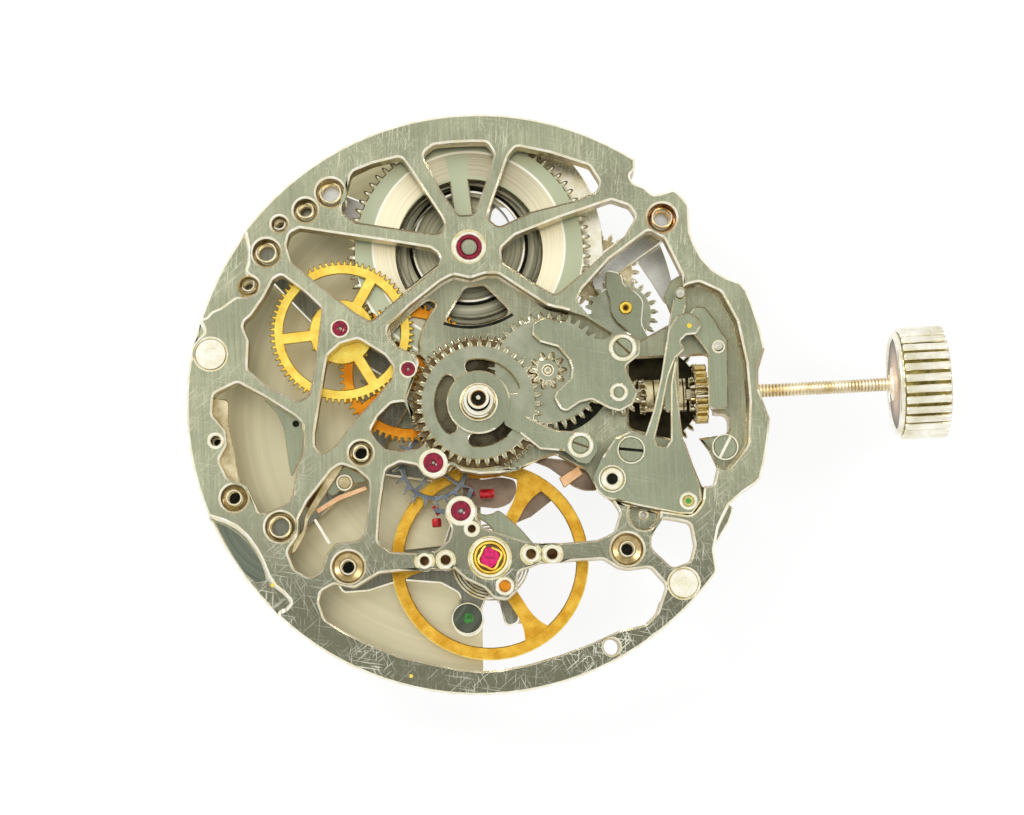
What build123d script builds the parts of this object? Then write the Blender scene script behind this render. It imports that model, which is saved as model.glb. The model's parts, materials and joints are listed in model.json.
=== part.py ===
from build123d import *
import os
from math import atan2, cos, degrees, hypot, pi, radians, sin, tan

# A self-winding watch movement with a cut-out plate, seen from its dial side.
# The origin is on the centre axis, in the dial's seat; +Z points to the dial and +X along the stem.
# Lengths are in millimetres. A height is measured from the dial's seat, so most are negative.

# Driving sizes of the whole movement
casing_diameter = 27.4
rim_depth = 2.6
rim_width = 1.05
ledge_depth = 0.5
floor_thickness = 0.22
camera_height = 140.0
camera_foot = 14.0

# Plays and gaps between pieces
cut_overrun = 0.4
pivot_play = 0.02
post_play = 0.03
arbor_play = 0.12
tip_play = 0.1
face_play = 0.04
layer_gap = 0.07
corner_room_share = 0.42
straight_turn_deg = 3

# Thickness of each layer, from the dial side down
cover_drop = 0.05
cover_thickness = 0.25
hour_thickness = 0.22
minute_thickness = 0.14
driving_thickness = 0.12
second_thickness = 0.14
third_thickness = 0.12
barrel_height = 1.1
fourth_thickness = 0.12
escape_thickness = 0.14
balance_thickness = 0.3
bridge_thickness = 0.5
ratchet_thickness = 0.2
cock_thickness = 0.42
rotor_gear_thickness = 0.14
rotor_thickness = 0.2
rotor_rim_height = 0.62

# Heights that follow from the layers
cover_top = -cover_drop
cover_bottom = cover_top - cover_thickness
hour_top = cover_bottom - face_play
hour_bottom = hour_top - hour_thickness
minute_top = hour_bottom - layer_gap
minute_bottom = minute_top - minute_thickness
driving_top = minute_bottom - layer_gap
driving_bottom = driving_top - driving_thickness
recess_floor = driving_bottom - layer_gap
web_bottom = recess_floor - floor_thickness
second_top = web_bottom - layer_gap
second_bottom = second_top - second_thickness
third_top = second_bottom - layer_gap
third_bottom = third_top - third_thickness
barrel_top = third_bottom - layer_gap
barrel_bottom = barrel_top - barrel_height
fourth_top = barrel_bottom - layer_gap
fourth_bottom = fourth_top - fourth_thickness
balance_top = fourth_bottom - 2 * layer_gap
balance_bottom = balance_top - balance_thickness
bridge_top = balance_bottom - layer_gap
bridge_bottom = bridge_top - bridge_thickness
ratchet_top = bridge_bottom - layer_gap
ratchet_bottom = ratchet_top - ratchet_thickness
transmission_top = ratchet_bottom - layer_gap
transmission_bottom = transmission_top - driving_thickness
rotor_gear_top = transmission_bottom - layer_gap
rotor_gear_bottom = rotor_gear_top - rotor_gear_thickness
rotor_top = rotor_gear_bottom - 2 * layer_gap
rotor_bottom = rotor_top - rotor_thickness
escape_top = balance_top + 5 * escape_thickness
escape_bottom = escape_top - escape_thickness

# Arbors, pivots, jewels and posts
pivot_radius = 0.1
arbor_radius = 0.2
jewel_radius = 0.31
jewel_thickness = 0.25
pivot_end = 0.03
post_radius = 0.2
pillar_radius = 0.55
screw_shank_radius = 0.2
screw_head_radius = 0.4
screw_head_height = 0.2
screw_slot_width = 0.1
screw_slot_depth = 0.08

# The plate's circle in the photograph, in its pixels, and its turn there
plate_centre_px = (478.5, 401.8)
plate_radius_px = 292
photo_turn_deg = 3
casing_radius = casing_diameter / 2
pixel = casing_radius / plate_radius_px

# Axes of the wheels, where their jewels and pins show
barrel_px = (468.5, 245)
second_px = (340, 328)
third_px = (408, 369)
escape_px = (433.5, 463)
pallet_px = (461, 511)
balance_px = (490, 558)
minute_px = (548, 369)
setting_px = (619, 392)
crown_wheel_px = (655, 388)
winding_a_px = (625, 304)
winding_b_px = (604, 257)
transmission_px = (389, 330)
reversing_px = (402, 385)

# Tooth counts of the going train, the motion work and the winding work
barrel_teeth, second_leaves = 76, 20
second_teeth, third_leaves = 72, 8
third_teeth, fourth_leaves = 64, 8
fourth_teeth, escape_leaves = 72, 8
escape_teeth = 20
driving_leaves, driving_teeth = 8, 60
cannon_leaves, minute_teeth = 12, 36
minute_leaves, hour_teeth = 10, 40
setting_teeth = 12
winding_teeth, crown_wheel_teeth = 20, 34
winding_a_teeth, winding_a_leaves = 22, 9
winding_b_teeth, ratchet_teeth = 24, 63
transmission_leaves, transmission_teeth = 11, 40
reversing_leaves = 13
rotor_teeth, reversing_teeth = 24, 34

# Shape of a tooth: places across one pitch, and heights above the pitch circle, in modules
tooth_shares = ((-0.27, -1.2), (-0.21, 0.0), (-0.07, 0.95), (0.07, 0.95), (0.21, 0.0), (0.27, -1.2))


def at(spot, depth=0):
    """Turns a pixel of the photograph into x and y, for a point that lies deeper than the plate's top."""
    right = (spot[0] - plate_centre_px[0]) * pixel
    up = (plate_centre_px[1] - spot[1]) * pixel
    turn = radians(photo_turn_deg)
    x = right * cos(turn) + up * sin(turn)
    y = up * cos(turn) - right * sin(turn)
    lower = depth / camera_height
    return (x * (1 + lower), y + (y + camera_foot) * lower)


def polar(centre, radius, angle):
    """A point at a radius and an angle in degrees round a centre."""
    return (centre[0] + radius * cos(radians(angle)), centre[1] + radius * sin(radians(angle)))


def span(a, b):
    """Distance between two places."""
    return hypot(b[0] - a[0], b[1] - a[1])


def heading(a, b):
    """Angle in degrees from one place to another."""
    return degrees(atan2(b[1] - a[1], b[0] - a[0]))


def rounded_corners(points, wanted):
    """For each corner: where its arc starts, its middle and its end, with the radius that fits there."""
    corners = []
    for index, point in enumerate(points):
        before = points[index - 1]
        after = points[(index + 1) % len(points)]
        turn = (heading(point, after) - heading(before, point) + 180) % 360 - 180
        if abs(turn) < straight_turn_deg:
            corners.append((point, None, point))
            continue
        bend = tan(radians(abs(turn)) / 2)
        setback = min(wanted * bend, corner_room_share * min(span(before, point), span(point, after)))
        start = polar(point, setback, heading(point, before))
        end = polar(point, setback, heading(point, after))
        chord_middle = ((start[0] + end[0]) / 2, (start[1] + end[1]) / 2)
        rise = span(chord_middle, start) * tan(radians(abs(turn)) / 4)
        middle = polar(chord_middle, rise, heading(chord_middle, point))
        corners.append((start, middle, end))
    return corners


def traced(spots, corner, depth=0):
    """A face with rounded corners through pixels of the photograph."""
    corners = rounded_corners([at(spot, depth) for spot in spots], corner)
    with BuildSketch() as face:
        with BuildLine():
            for index, (start, middle, end) in enumerate(corners):
                Line(corners[index - 1][2], start)
                if middle:
                    ThreePointArc(start, middle, end)
        make_face()
    return face.sketch


def toothed(centre, teeth, pitch_radius, phase=0):
    """The face of a toothed wheel, with one tooth's middle at the phase angle."""
    module = 2 * pitch_radius / teeth
    points = []
    for tooth in range(teeth):
        for across, height in tooth_shares:
            angle = phase + (tooth + across) * 360 / teeth
            points.append(polar(centre, pitch_radius + height * module, angle))
    with BuildSketch() as face:
        with BuildLine():
            Polyline(*points, close=True)
        make_face()
    return face.sketch


def meshed_phase(phase, teeth, other_teeth, direction):
    """Phase of a wheel whose gap meets a tooth of the wheel that drives it, in the given direction."""
    lag = ((direction - phase) * teeth / 360) % 1
    return direction + 180 + (lag - 0.5) * 360 / other_teeth


def slab(drawing, top, bottom, mode=Mode.ADD):
    """Fills a drawing between two heights of the open part."""
    with BuildSketch(Plane.XY.offset(top)) as flat:
        add(drawing)
    extrude(flat.sketch, amount=bottom - top, mode=mode)


def post(centre, radius, top, bottom, mode=Mode.ADD):
    """Stands a round post between two heights of the open part."""
    with Locations((*centre, bottom)):
        Cylinder(radius, top - bottom, align=(Align.CENTER, Align.CENTER, Align.MIN), mode=mode)


def rod(start_x, end_x, radius, mode=Mode.ADD):
    """Lays a round rod along the stem's axis."""
    with Locations(Location((start_x, 0, stem_height), (0, 90, 0))):
        Cylinder(radius, end_x - start_x, align=(Align.CENTER, Align.CENTER, Align.MIN), mode=mode)


def arbor(place, top, bottom, radius):
    """An arbor with a thinner pivot at each end, from pivot tip to pivot tip."""
    post(place, radius, top - jewel_thickness - face_play, bottom + jewel_thickness + face_play)
    post(place, pivot_radius, top, bottom)


def jewel(place, face, outer_radius, hole_radius, direction=-1):
    """A ring jewel whose outer face lies at the given height."""
    back = face + direction * jewel_thickness
    high, low = max(face, back), min(face, back)
    post(place, outer_radius, high, low)
    post(place, hole_radius, high + cut_overrun, low - cut_overrun, Mode.SUBTRACT)


def bar(start, end, width):
    """The face of a straight bar with round ends between two places."""
    with BuildSketch() as face:
        with Locations(start, end):
            Circle(width / 2)
        with BuildLine():
            side = heading(start, end) + 90
            Polyline(
                polar(start, width / 2, side), polar(end, width / 2, side),
                polar(end, width / 2, side + 180), polar(start, width / 2, side + 180), close=True,
            )
        make_face()
    return face.sketch


def crossed_wheel(place, teeth, pitch_radius, rim_radius, hub_radius, spoke_width, spoke_angles, phase=0):
    """The face of a toothed wheel whose rim is joined to its hub by spokes."""
    with BuildSketch() as face:
        add(toothed(place, teeth, pitch_radius, phase))
        with Locations(place):
            Circle(rim_radius, mode=Mode.SUBTRACT)
            Circle(hub_radius)
        for angle in spoke_angles:
            add(bar(place, polar(place, rim_radius + spoke_width / 4, angle), spoke_width))
    return face.sketch


centre = (0, 0)
barrel_at = at(barrel_px)
second_at = at(second_px)
third_at = at(third_px)
escape_at = at(escape_px)
pallet_at = at(pallet_px)
balance_at = at(balance_px)
minute_at = at(minute_px)
crown_wheel_at = at(crown_wheel_px)
winding_a_at = at(winding_a_px)
winding_b_at = at(winding_b_px)
transmission_at = at(transmission_px)
reversing_at = at(reversing_px)


def driver_radius(axis, other_axis, teeth, other_teeth):
    """Pitch radius of the first wheel of a pair, from the distance between the two axes."""
    return span(axis, other_axis) * teeth / (teeth + other_teeth)


# Pitch radii, each pair from its own centre distance
barrel_radius = driver_radius(barrel_at, second_at, barrel_teeth, second_leaves)
second_leaf_radius = driver_radius(second_at, barrel_at, second_leaves, barrel_teeth)
second_radius = driver_radius(second_at, third_at, second_teeth, third_leaves)
third_leaf_radius = driver_radius(third_at, second_at, third_leaves, second_teeth)
third_radius = driver_radius(third_at, centre, third_teeth, fourth_leaves)
fourth_leaf_radius = driver_radius(centre, third_at, fourth_leaves, third_teeth)
fourth_radius = driver_radius(centre, escape_at, fourth_teeth, escape_leaves)
escape_leaf_radius = driver_radius(escape_at, centre, escape_leaves, fourth_teeth)
driving_leaf_radius = driver_radius(third_at, centre, driving_leaves, driving_teeth)
driving_radius = driver_radius(centre, third_at, driving_teeth, driving_leaves)
cannon_leaf_radius = driver_radius(centre, minute_at, cannon_leaves, minute_teeth)
minute_radius = driver_radius(minute_at, centre, minute_teeth, cannon_leaves)
minute_leaf_radius = driver_radius(minute_at, centre, minute_leaves, hour_teeth)
hour_radius = driver_radius(centre, minute_at, hour_teeth, minute_leaves)
setting_radius = minute_radius * setting_teeth / minute_teeth
setting_at = polar(minute_at, minute_radius + setting_radius, heading(minute_at, at(setting_px)))
winding_a_radius = driver_radius(winding_a_at, crown_wheel_at, winding_a_teeth, crown_wheel_teeth)
crown_wheel_radius = driver_radius(crown_wheel_at, winding_a_at, crown_wheel_teeth, winding_a_teeth)
winding_b_radius = driver_radius(winding_b_at, barrel_at, winding_b_teeth, ratchet_teeth)
ratchet_radius = driver_radius(barrel_at, winding_b_at, ratchet_teeth, winding_b_teeth)
winding_a_leaf_radius = span(winding_a_at, winding_b_at) - winding_b_radius
transmission_leaf_radius = span(transmission_at, barrel_at) - ratchet_radius
reversing_leaf_radius = driver_radius(reversing_at, transmission_at, reversing_leaves, transmission_teeth)
transmission_radius = driver_radius(transmission_at, reversing_at, transmission_teeth, reversing_leaves)
rotor_gear_radius = driver_radius(centre, reversing_at, rotor_teeth, reversing_teeth)
reversing_radius = driver_radius(reversing_at, centre, reversing_teeth, rotor_teeth)

os.makedirs("parts", exist_ok=True)

# Main plate: outlines of its edge, in pixels
stem_side_px = [
    (636, 150), (636, 166), (630, 172), (634, 180), (645, 184), (654, 192), (662, 191), (676, 186),
    (690, 202), (691, 230), (696, 243), (703, 256), (714, 268), (727, 276), (741, 281), (748, 289),
    (755, 304), (762, 326), (766, 346), (759, 370), (759, 388), (771, 421), (770, 440), (764, 474),
    (756, 483), (743, 492), (728, 505), (718, 526), (713, 550), (716, 568), (715, 575), (700, 595),
    (780, 640), (860, 400), (760, 90),
]
upper_step_px = [
    (199, 319), (205, 331), (193, 345), (191, 362), (170, 362), (190, 260), (235, 215), (244, 231),
    (246, 240), (248, 250), (247, 262), (244, 271), (258, 280), (256, 292), (244, 296), (235, 296),
    (220, 307), (211, 311), (206, 317),
]
lower_step_px = [
    (207, 513), (210, 516), (226, 521), (238, 527), (248, 536), (257, 548), (264, 561), (270, 576),
    (277, 586), (285, 592), (294, 602), (287, 610), (281, 611), (280, 620), (250, 640), (160, 540),
]
crown_side_ledge_px = [(700, 500), (737, 504), (731, 521), (719, 541), (700, 540)]

# Main plate: its openings, in pixels
window_px = {
    "upper_left": [
        (349, 173), (352, 168), (372, 160), (400, 153), (410, 167), (425, 190), (440, 213), (444, 221),
        (441, 230), (433, 232), (395, 226), (355, 220), (341, 211), (340, 205),
    ],
    "second_wheel_right": [
        (298, 226), (345, 233), (380, 238), (430, 246), (437, 251), (440, 258), (437, 265), (430, 271),
        (390, 303), (371, 321), (355, 312), (320, 285), (290, 260), (285, 243), (288, 231),
    ],
    "second_wheel_left": [
        (280, 273), (304, 291), (321, 307), (317, 345), (313, 375), (309, 395), (303, 399), (296, 401),
        (265, 384), (247, 369), (248, 340), (242, 326), (244, 320), (250, 315), (263, 296), (272, 278),
    ],
    "left": [
        (237, 382), (265, 397), (295, 416), (302, 423), (304, 440), (303, 455), (298, 463), (293, 495),
        (289, 503), (266, 513), (260, 513), (247, 486), (228, 479), (219, 460), (227, 446), (226, 431),
        (212, 415), (213, 394),
    ],
    "third_wheel_left": [
        (340, 343), (358, 338), (385, 355), (393, 366), (392, 378), (378, 395), (355, 420), (335, 446),
        (322, 455), (315, 446), (315, 433), (320, 400), (327, 355),
    ],
    "third_wheel_right": [
        (387, 334), (397, 323), (412, 308), (427, 296), (436, 300), (428, 312), (421, 325), (417, 340),
        (418, 352), (395, 343),
    ],
    "third_wheel_below": [
        (406, 401), (391, 403), (378, 416), (370, 431), (378, 442), (385, 449), (402, 451), (420, 448),
        (426, 442), (418, 428), (411, 413),
    ],
    "recess_floor": [
        (464, 284), (484, 281), (511, 308), (498, 316), (480, 321), (462, 323), (443, 321),
    ],
    "lower_left": [
        (341, 464), (356, 469), (369, 480), (370, 492), (365, 533), (358, 541), (336, 543), (328, 553),
        (322, 571), (310, 578), (295, 569), (288, 551), (298, 537), (299, 519), (308, 501), (332, 470),
    ],
    "escapement": [
        (384, 480), (386, 469), (400, 462), (417, 465), (424, 475), (434, 479), (445, 475), (450, 462),
        (462, 471), (480, 474), (500, 473), (520, 468), (540, 458), (556, 453), (575, 464), (588, 470),
        (593, 480), (600, 492), (612, 500), (620, 512), (614, 532), (597, 540), (560, 543), (532, 543),
        (512, 537), (500, 533), (484, 528), (477, 518), (477, 506), (461, 494), (446, 505), (445, 516),
        (452, 528), (449, 540), (436, 551), (420, 553), (392, 552), (378, 542), (380, 510),
    ],
    "below_balance": [
        (320, 602), (322, 591), (335, 584), (355, 588), (380, 573), (400, 571), (430, 569), (453, 567),
        (466, 579), (485, 588), (494, 598), (508, 600), (518, 590), (518, 572), (540, 563), (570, 561),
        (603, 559), (618, 568), (627, 570), (650, 567), (666, 585), (657, 612), (645, 624), (618, 630),
        (590, 643), (560, 654), (530, 663), (500, 669), (480, 670), (460, 668), (430, 662), (400, 655),
        (370, 643), (345, 631), (326, 619),
    ],
    "lower_right": [
        (651, 548), (651, 538), (661, 518), (675, 520), (690, 523), (694, 545), (690, 561), (672, 568),
    ],
    "jumper_side": [
        (683, 430), (697, 432), (710, 449), (718, 466), (714, 485), (704, 487), (694, 462),
    ],
    "winding_wheels": [
        (650, 227), (610, 257), (582, 288), (577, 300), (590, 316), (612, 332), (640, 338), (672, 320),
        (686, 300), (683, 273), (665, 236),
    ],
    "upper_right": [
        (516, 142), (550, 149), (590, 162), (600, 178), (598, 188), (575, 198), (532, 209), (498, 225),
        (487, 215), (491, 202), (508, 152),
    ],
    "top": [
        (421, 150), (433, 141), (450, 139), (470, 138), (487, 138), (494, 150), (487, 175), (480, 195),
        (474, 212), (458, 213), (440, 187),
    ],
    "upper_right_low": [
        (612, 197), (560, 215), (515, 233), (501, 246), (502, 260), (535, 282), (556, 294), (583, 271),
        (625, 234), (637, 214), (630, 203),
    ],
}
recess_px = [
    (384, 329), (410, 304), (440, 280), (453, 273), (470, 277), (485, 272), (498, 272), (530, 293),
    (547, 304), (585, 315), (612, 332), (640, 338), (672, 320), (684, 284), (700, 280), (722, 290),
    (738, 320), (747, 362), (750, 400), (748, 445), (728, 470), (718, 466), (704, 487), (702, 503),
    (692, 516), (640, 508), (600, 498), (588, 470), (556, 453), (520, 468), (450, 462), (426, 442),
    (406, 401), (421, 357), (395, 345),
]
keyless_well_px = [
    (630, 356), (712, 352), (712, 411), (731, 411), (731, 432), (702, 436), (690, 441), (630, 426),
]
stem_block_px = [(716, 340), (800, 330), (800, 450), (716, 440)]
window_corner = 0.35
recess_corner = 0.5
step_corner = 0.3

# Round holes and counterbores of the plate: pixel, outer and inner radius in pixels, depth share
plate_hole_px = [
    ((329, 190), 14.5, 9), ((304, 208), 12, 6), ((278, 222), 8, 4), ((265, 251), 14, 8),
    ((663, 215), 14.5, 7), ((235, 498), 13.5, 6), ((281, 527), 15, 9),
    ((361, 453), 12, 6), ((349, 567), 16, 6), ((627, 549), 16, 6), ((425, 561), 8, 4.5),
    ((446, 560), 8, 4), ((531, 554), 9, 5), ((552, 554), 9, 5),
    ((472, 529), 6, 3.5), ((247, 284), 9, 4), ((644, 514), 16, 3),
]
counterbore_share = 0.55

# Blind holes for a dial's two feet: place and radius in pixels
dial_feet_px = [((216, 441), 5, 1.1), ((611, 646), 8, rim_depth)]
casing_disc_px = [((210, 354), 15), ((683, 583), 14)]
casing_disc_drop = 0.05
casing_disc_bottom = -0.35

rim_inner = casing_radius - rim_width
barrel_tip = barrel_radius * (1 + 2 / barrel_teeth)
driving_tip = driving_radius * (1 + 2 / driving_teeth)
hour_tip = hour_radius * (1 + 2 / hour_teeth)
minute_tip = minute_radius * (1 + 2 / minute_teeth)

# Stem, winding pinion and clutch: places along the stem's axis
stem_height = barrel_top - 0.03 * barrel_height
stem_tail_x, stem_square_x, pinion_x, pinion_end_x = 6.3, 7.1, 10.25, 10.85
clutch_x, clutch_end_x, groove_x, groove_end_x = 7.65, 10.05, 11.0, 11.5
stem_body_end_x, crown_x, crown_end_x = 13.3, 19.85, 22.2
stem_tail_radius, stem_square, stem_seat_radius = 0.25, 0.46, 0.4
stem_groove_radius, stem_radius, stem_thread_radius = 0.35, 0.55, 0.33
winding_pinion_tip, clutch_radius, clutch_groove_radius = 1.42, 0.8, 0.45
stem_block_inner_px = [(604, 376), (628, 376), (628, 404), (604, 404)]

# Feet of the rear bridges, where their screws come through the plate
train_feet_px = [(361, 453), (265, 251), (281, 527)]
barrel_feet_px = [(329, 190), (663, 215), (645, 515)]
cock_foot_px = (349, 567)
shock_radius = 0.93
shock_bore = 0.42
bush_radius = 0.72
bush_bore = 0.34

dial_jewel_places = (second_at, third_at, escape_at, pallet_at)

with BuildPart() as main_plate:
    post(centre, casing_radius, 0, web_bottom)
    post(centre, casing_radius, web_bottom, -rim_depth)
    post(centre, rim_inner, web_bottom, -rim_depth, Mode.SUBTRACT)
    slab(traced(stem_block_px, step_corner), web_bottom, -rim_depth)
    with BuildSketch(Plane.XY.offset(cut_overrun)) as openings:
        add(traced(stem_side_px, step_corner))
        for outline_px in window_px.values():
            add(traced(outline_px, window_corner))
        add(traced(keyless_well_px, window_corner))
        for spot, outer_px, inner_px in plate_hole_px:
            with Locations(at(spot)):
                Circle(inner_px * pixel)
    extrude(openings.sketch, amount=-rim_depth - 2 * cut_overrun, mode=Mode.SUBTRACT)
    with BuildSketch(Plane.XY.offset(cut_overrun)) as steps:
        for outline_px in (upper_step_px, lower_step_px):
            add(traced(outline_px, step_corner))
    extrude(steps.sketch, amount=-ledge_depth - cut_overrun, mode=Mode.SUBTRACT)
    with BuildSketch(Plane.XY.offset(cut_overrun)) as recess:
        add(traced(recess_px, recess_corner))
        Circle(hour_tip + tip_play)
        with Locations(minute_at):
            Circle(minute_tip + tip_play)
    extrude(recess.sketch, amount=recess_floor - cut_overrun, mode=Mode.SUBTRACT)
    with BuildSketch(Plane.XY.offset(cut_overrun)) as counterbores:
        for spot, outer_px, inner_px in plate_hole_px:
            with Locations(at(spot)):
                Circle(outer_px * pixel)
    extrude(counterbores.sketch, amount=counterbore_share * web_bottom - cut_overrun, mode=Mode.SUBTRACT)
    post(centre, driving_tip + tip_play, minute_bottom, recess_floor, Mode.SUBTRACT)
    post(third_at, 2 * driving_leaf_radius, minute_bottom, web_bottom - cut_overrun, Mode.SUBTRACT)
    post(barrel_at, barrel_tip + 2 * tip_play, web_bottom - layer_gap, -rim_depth - cut_overrun,
         Mode.SUBTRACT)
    for place in dial_jewel_places:
        post(place, jewel_radius, cut_overrun, -jewel_thickness, Mode.SUBTRACT)
        post(place, arbor_radius + arbor_play, 0, web_bottom - cut_overrun, Mode.SUBTRACT)
    post(centre, 2.5 * post_radius, 0, web_bottom - cut_overrun, Mode.SUBTRACT)
    slab(traced(stem_block_inner_px, step_corner), web_bottom, -rim_depth)
    slab(traced(crown_side_ledge_px, step_corner), web_bottom, -rim_depth)
    post(barrel_at, bush_radius, cut_overrun, web_bottom - cut_overrun, Mode.SUBTRACT)
    post(balance_at, shock_radius, cut_overrun, web_bottom - cut_overrun, Mode.SUBTRACT)
    for spot in (*train_feet_px, *barrel_feet_px):
        post(at(spot), pillar_radius + post_play, web_bottom, -rim_depth - cut_overrun, Mode.SUBTRACT)
    for spot, foot_radius_px, foot_depth in dial_feet_px:
        post(at(spot), foot_radius_px * pixel, cut_overrun, -foot_depth, Mode.SUBTRACT)
    for spot, disc_radius_px in casing_disc_px:
        post(at(spot), disc_radius_px * pixel + post_play, cut_overrun, casing_disc_bottom, Mode.SUBTRACT)
    for place in (minute_at, setting_at):
        post(place, post_radius, cover_bottom, recess_floor)
    rod(stem_square_x, casing_diameter, stem_radius + post_play, Mode.SUBTRACT)
    rod(stem_tail_x - post_play, stem_square_x, stem_tail_radius + post_play, Mode.SUBTRACT)
main_plate.part.label = "main_plate"
export_step(main_plate.part, "parts/main_plate.step")

with BuildPart() as casing_discs:
    for spot, disc_radius_px in casing_disc_px:
        post(at(spot), disc_radius_px * pixel, -casing_disc_drop, casing_disc_bottom)
        post(at(spot), 0.45 * disc_radius_px * pixel, 0, casing_disc_bottom / 2, Mode.SUBTRACT)
casing_discs.part.label = "casing_discs"
export_step(casing_discs.part, "parts/casing_discs.step")

# Rear bridges: their bars run between the axes that they carry
bridge_bar_width = 1.3
bridge_boss_radius = 0.75
barrel_hub_radius = 1.0
rotor_post_radius = 0.8
rotor_seat_radius = 1.9
stud_radius = 0.2


def bridge_face(lines, bosses):
    """The face of a bridge: bars along its lines, with round bosses."""
    with BuildSketch() as face:
        for start, end in lines:
            add(bar(start, end, bridge_bar_width))
        for place, radius in bosses:
            with Locations(place):
                Circle(radius)
    return face.sketch


def rear_bearing(place, shaft_radius, ring_radius):
    """Cuts a bridge for an arbor and for the jewel or bush that holds its pivot."""
    post(place, shaft_radius, bridge_top + cut_overrun, bridge_bottom, Mode.SUBTRACT)
    post(place, ring_radius, bridge_bottom + jewel_thickness, bridge_bottom - cut_overrun, Mode.SUBTRACT)


train_feet = [at(spot) for spot in train_feet_px]
train_lines = [
    (train_feet[0], escape_at), (escape_at, centre), (centre, third_at), (third_at, second_at),
    (second_at, train_feet[1]), (train_feet[0], train_feet[2]), (third_at, train_feet[0]),
]
train_bosses = [
    (second_at, bridge_boss_radius), (third_at, bridge_boss_radius), (centre, rotor_seat_radius),
    (transmission_at, bridge_boss_radius), (reversing_at, bridge_boss_radius),
]
train_pivots = (second_at, third_at, centre, escape_at)

with BuildPart() as train_bridge:
    slab(bridge_face(train_lines, train_bosses), bridge_top, bridge_bottom)
    for place in train_feet:
        post(place, pillar_radius, web_bottom, bridge_bottom)
        post(place, screw_shank_radius + post_play, barrel_top, bridge_bottom, Mode.SUBTRACT)
    post(balance_at, span(balance_at, escape_at) - 1.5 * jewel_radius, bridge_top, bridge_bottom,
         Mode.SUBTRACT)
    for place in train_pivots:
        rear_bearing(place, arbor_radius + arbor_play, jewel_radius)
    for place in (transmission_at, reversing_at):
        post(place, stud_radius, bridge_bottom, rotor_gear_bottom)
train_bridge.part.label = "train_bridge"
export_step(train_bridge.part, "parts/train_bridge.step")

barrel_feet = [at(spot) for spot in barrel_feet_px]
barrel_lines = [
    (barrel_feet[0], barrel_at), (barrel_at, winding_b_at), (winding_b_at, barrel_feet[1]),
    (winding_b_at, winding_a_at), (winding_a_at, crown_wheel_at), (crown_wheel_at, barrel_feet[2]),
]
barrel_bosses = [(barrel_at, 1.6 * barrel_hub_radius), (crown_wheel_at, barrel_hub_radius)]

with BuildPart() as barrel_bridge:
    slab(bridge_face(barrel_lines, barrel_bosses), bridge_top, bridge_bottom)
    for place in barrel_feet:
        post(place, pillar_radius, web_bottom, bridge_bottom)
        post(place, screw_shank_radius + post_play, barrel_top, bridge_bottom, Mode.SUBTRACT)
    post(crown_wheel_at, stud_radius, stem_height - winding_pinion_tip - face_play, bridge_top)
    post(winding_b_at, stud_radius, bridge_bottom, ratchet_bottom)
    post(winding_a_at, arbor_radius + post_play, bridge_top + cut_overrun, bridge_bottom - cut_overrun,
         Mode.SUBTRACT)
    rear_bearing(barrel_at, barrel_hub_radius * 0.6 + post_play, barrel_hub_radius)
barrel_bridge.part.label = "barrel_bridge"
export_step(barrel_bridge.part, "parts/barrel_bridge.step")

# Balance cock: comes in from the left, behind the balance
cock_px = [
    (330, 575), (335, 552), (362, 548), (400, 546), (470, 538), (500, 538), (514, 552), (516, 580),
    (521, 620), (506, 625), (500, 600), (488, 591), (480, 610), (456, 610), (460, 591), (440, 580),
    (400, 577), (366, 588), (340, 590),
]
cock_disc_px = 16
stud_px = (468, 618)
cock_top = bridge_bottom - 0.3 * layer_gap
cock_bottom = cock_top - cock_thickness
cock_foot = at(cock_foot_px)

with BuildPart() as balance_cock:
    slab(traced(cock_px, window_corner), cock_top, cock_bottom)
    post(at(stud_px), cock_disc_px * pixel, cock_top, cock_bottom)
    post(cock_foot, 1.3 * pillar_radius, web_bottom, cock_top)
    post(cock_foot, screw_shank_radius + post_play, barrel_top, cock_bottom - cut_overrun, Mode.SUBTRACT)
    post(balance_at, shock_bore, cock_top + cut_overrun, cock_bottom - cut_overrun, Mode.SUBTRACT)
balance_cock.part.label = "balance_cock"
export_step(balance_cock.part, "parts/balance_cock.step")

# Pallet bridge: one foot beside the balance's jewel, one arm to the pallet's pivot
pallet_foot_px = [(425, 561), (446, 560)]
pallet_bridge_top = escape_bottom - layer_gap
pallet_bridge_thickness = 0.24
pallet_bridge_bottom = pallet_bridge_top - pallet_bridge_thickness
pallet_feet = [at(spot) for spot in pallet_foot_px]

with BuildPart() as pallet_bridge:
    with BuildSketch(Plane.XY.offset(pallet_bridge_top)) as arm:
        add(bar(pallet_feet[0], pallet_feet[1], 2 * post_radius + jewel_radius))
        add(bar(pallet_feet[1], pallet_at, 2 * jewel_radius + post_radius))
    extrude(arm.sketch, amount=-pallet_bridge_thickness)
    for place in pallet_feet:
        post(place, 1.6 * post_radius, web_bottom, pallet_bridge_top)
    post(pallet_at, pivot_radius + pivot_play, pallet_bridge_top + cut_overrun,
         pallet_bridge_bottom - cut_overrun,
         Mode.SUBTRACT)
pallet_bridge.part.label = "pallet_bridge"
export_step(pallet_bridge.part, "parts/pallet_bridge.step")

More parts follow.
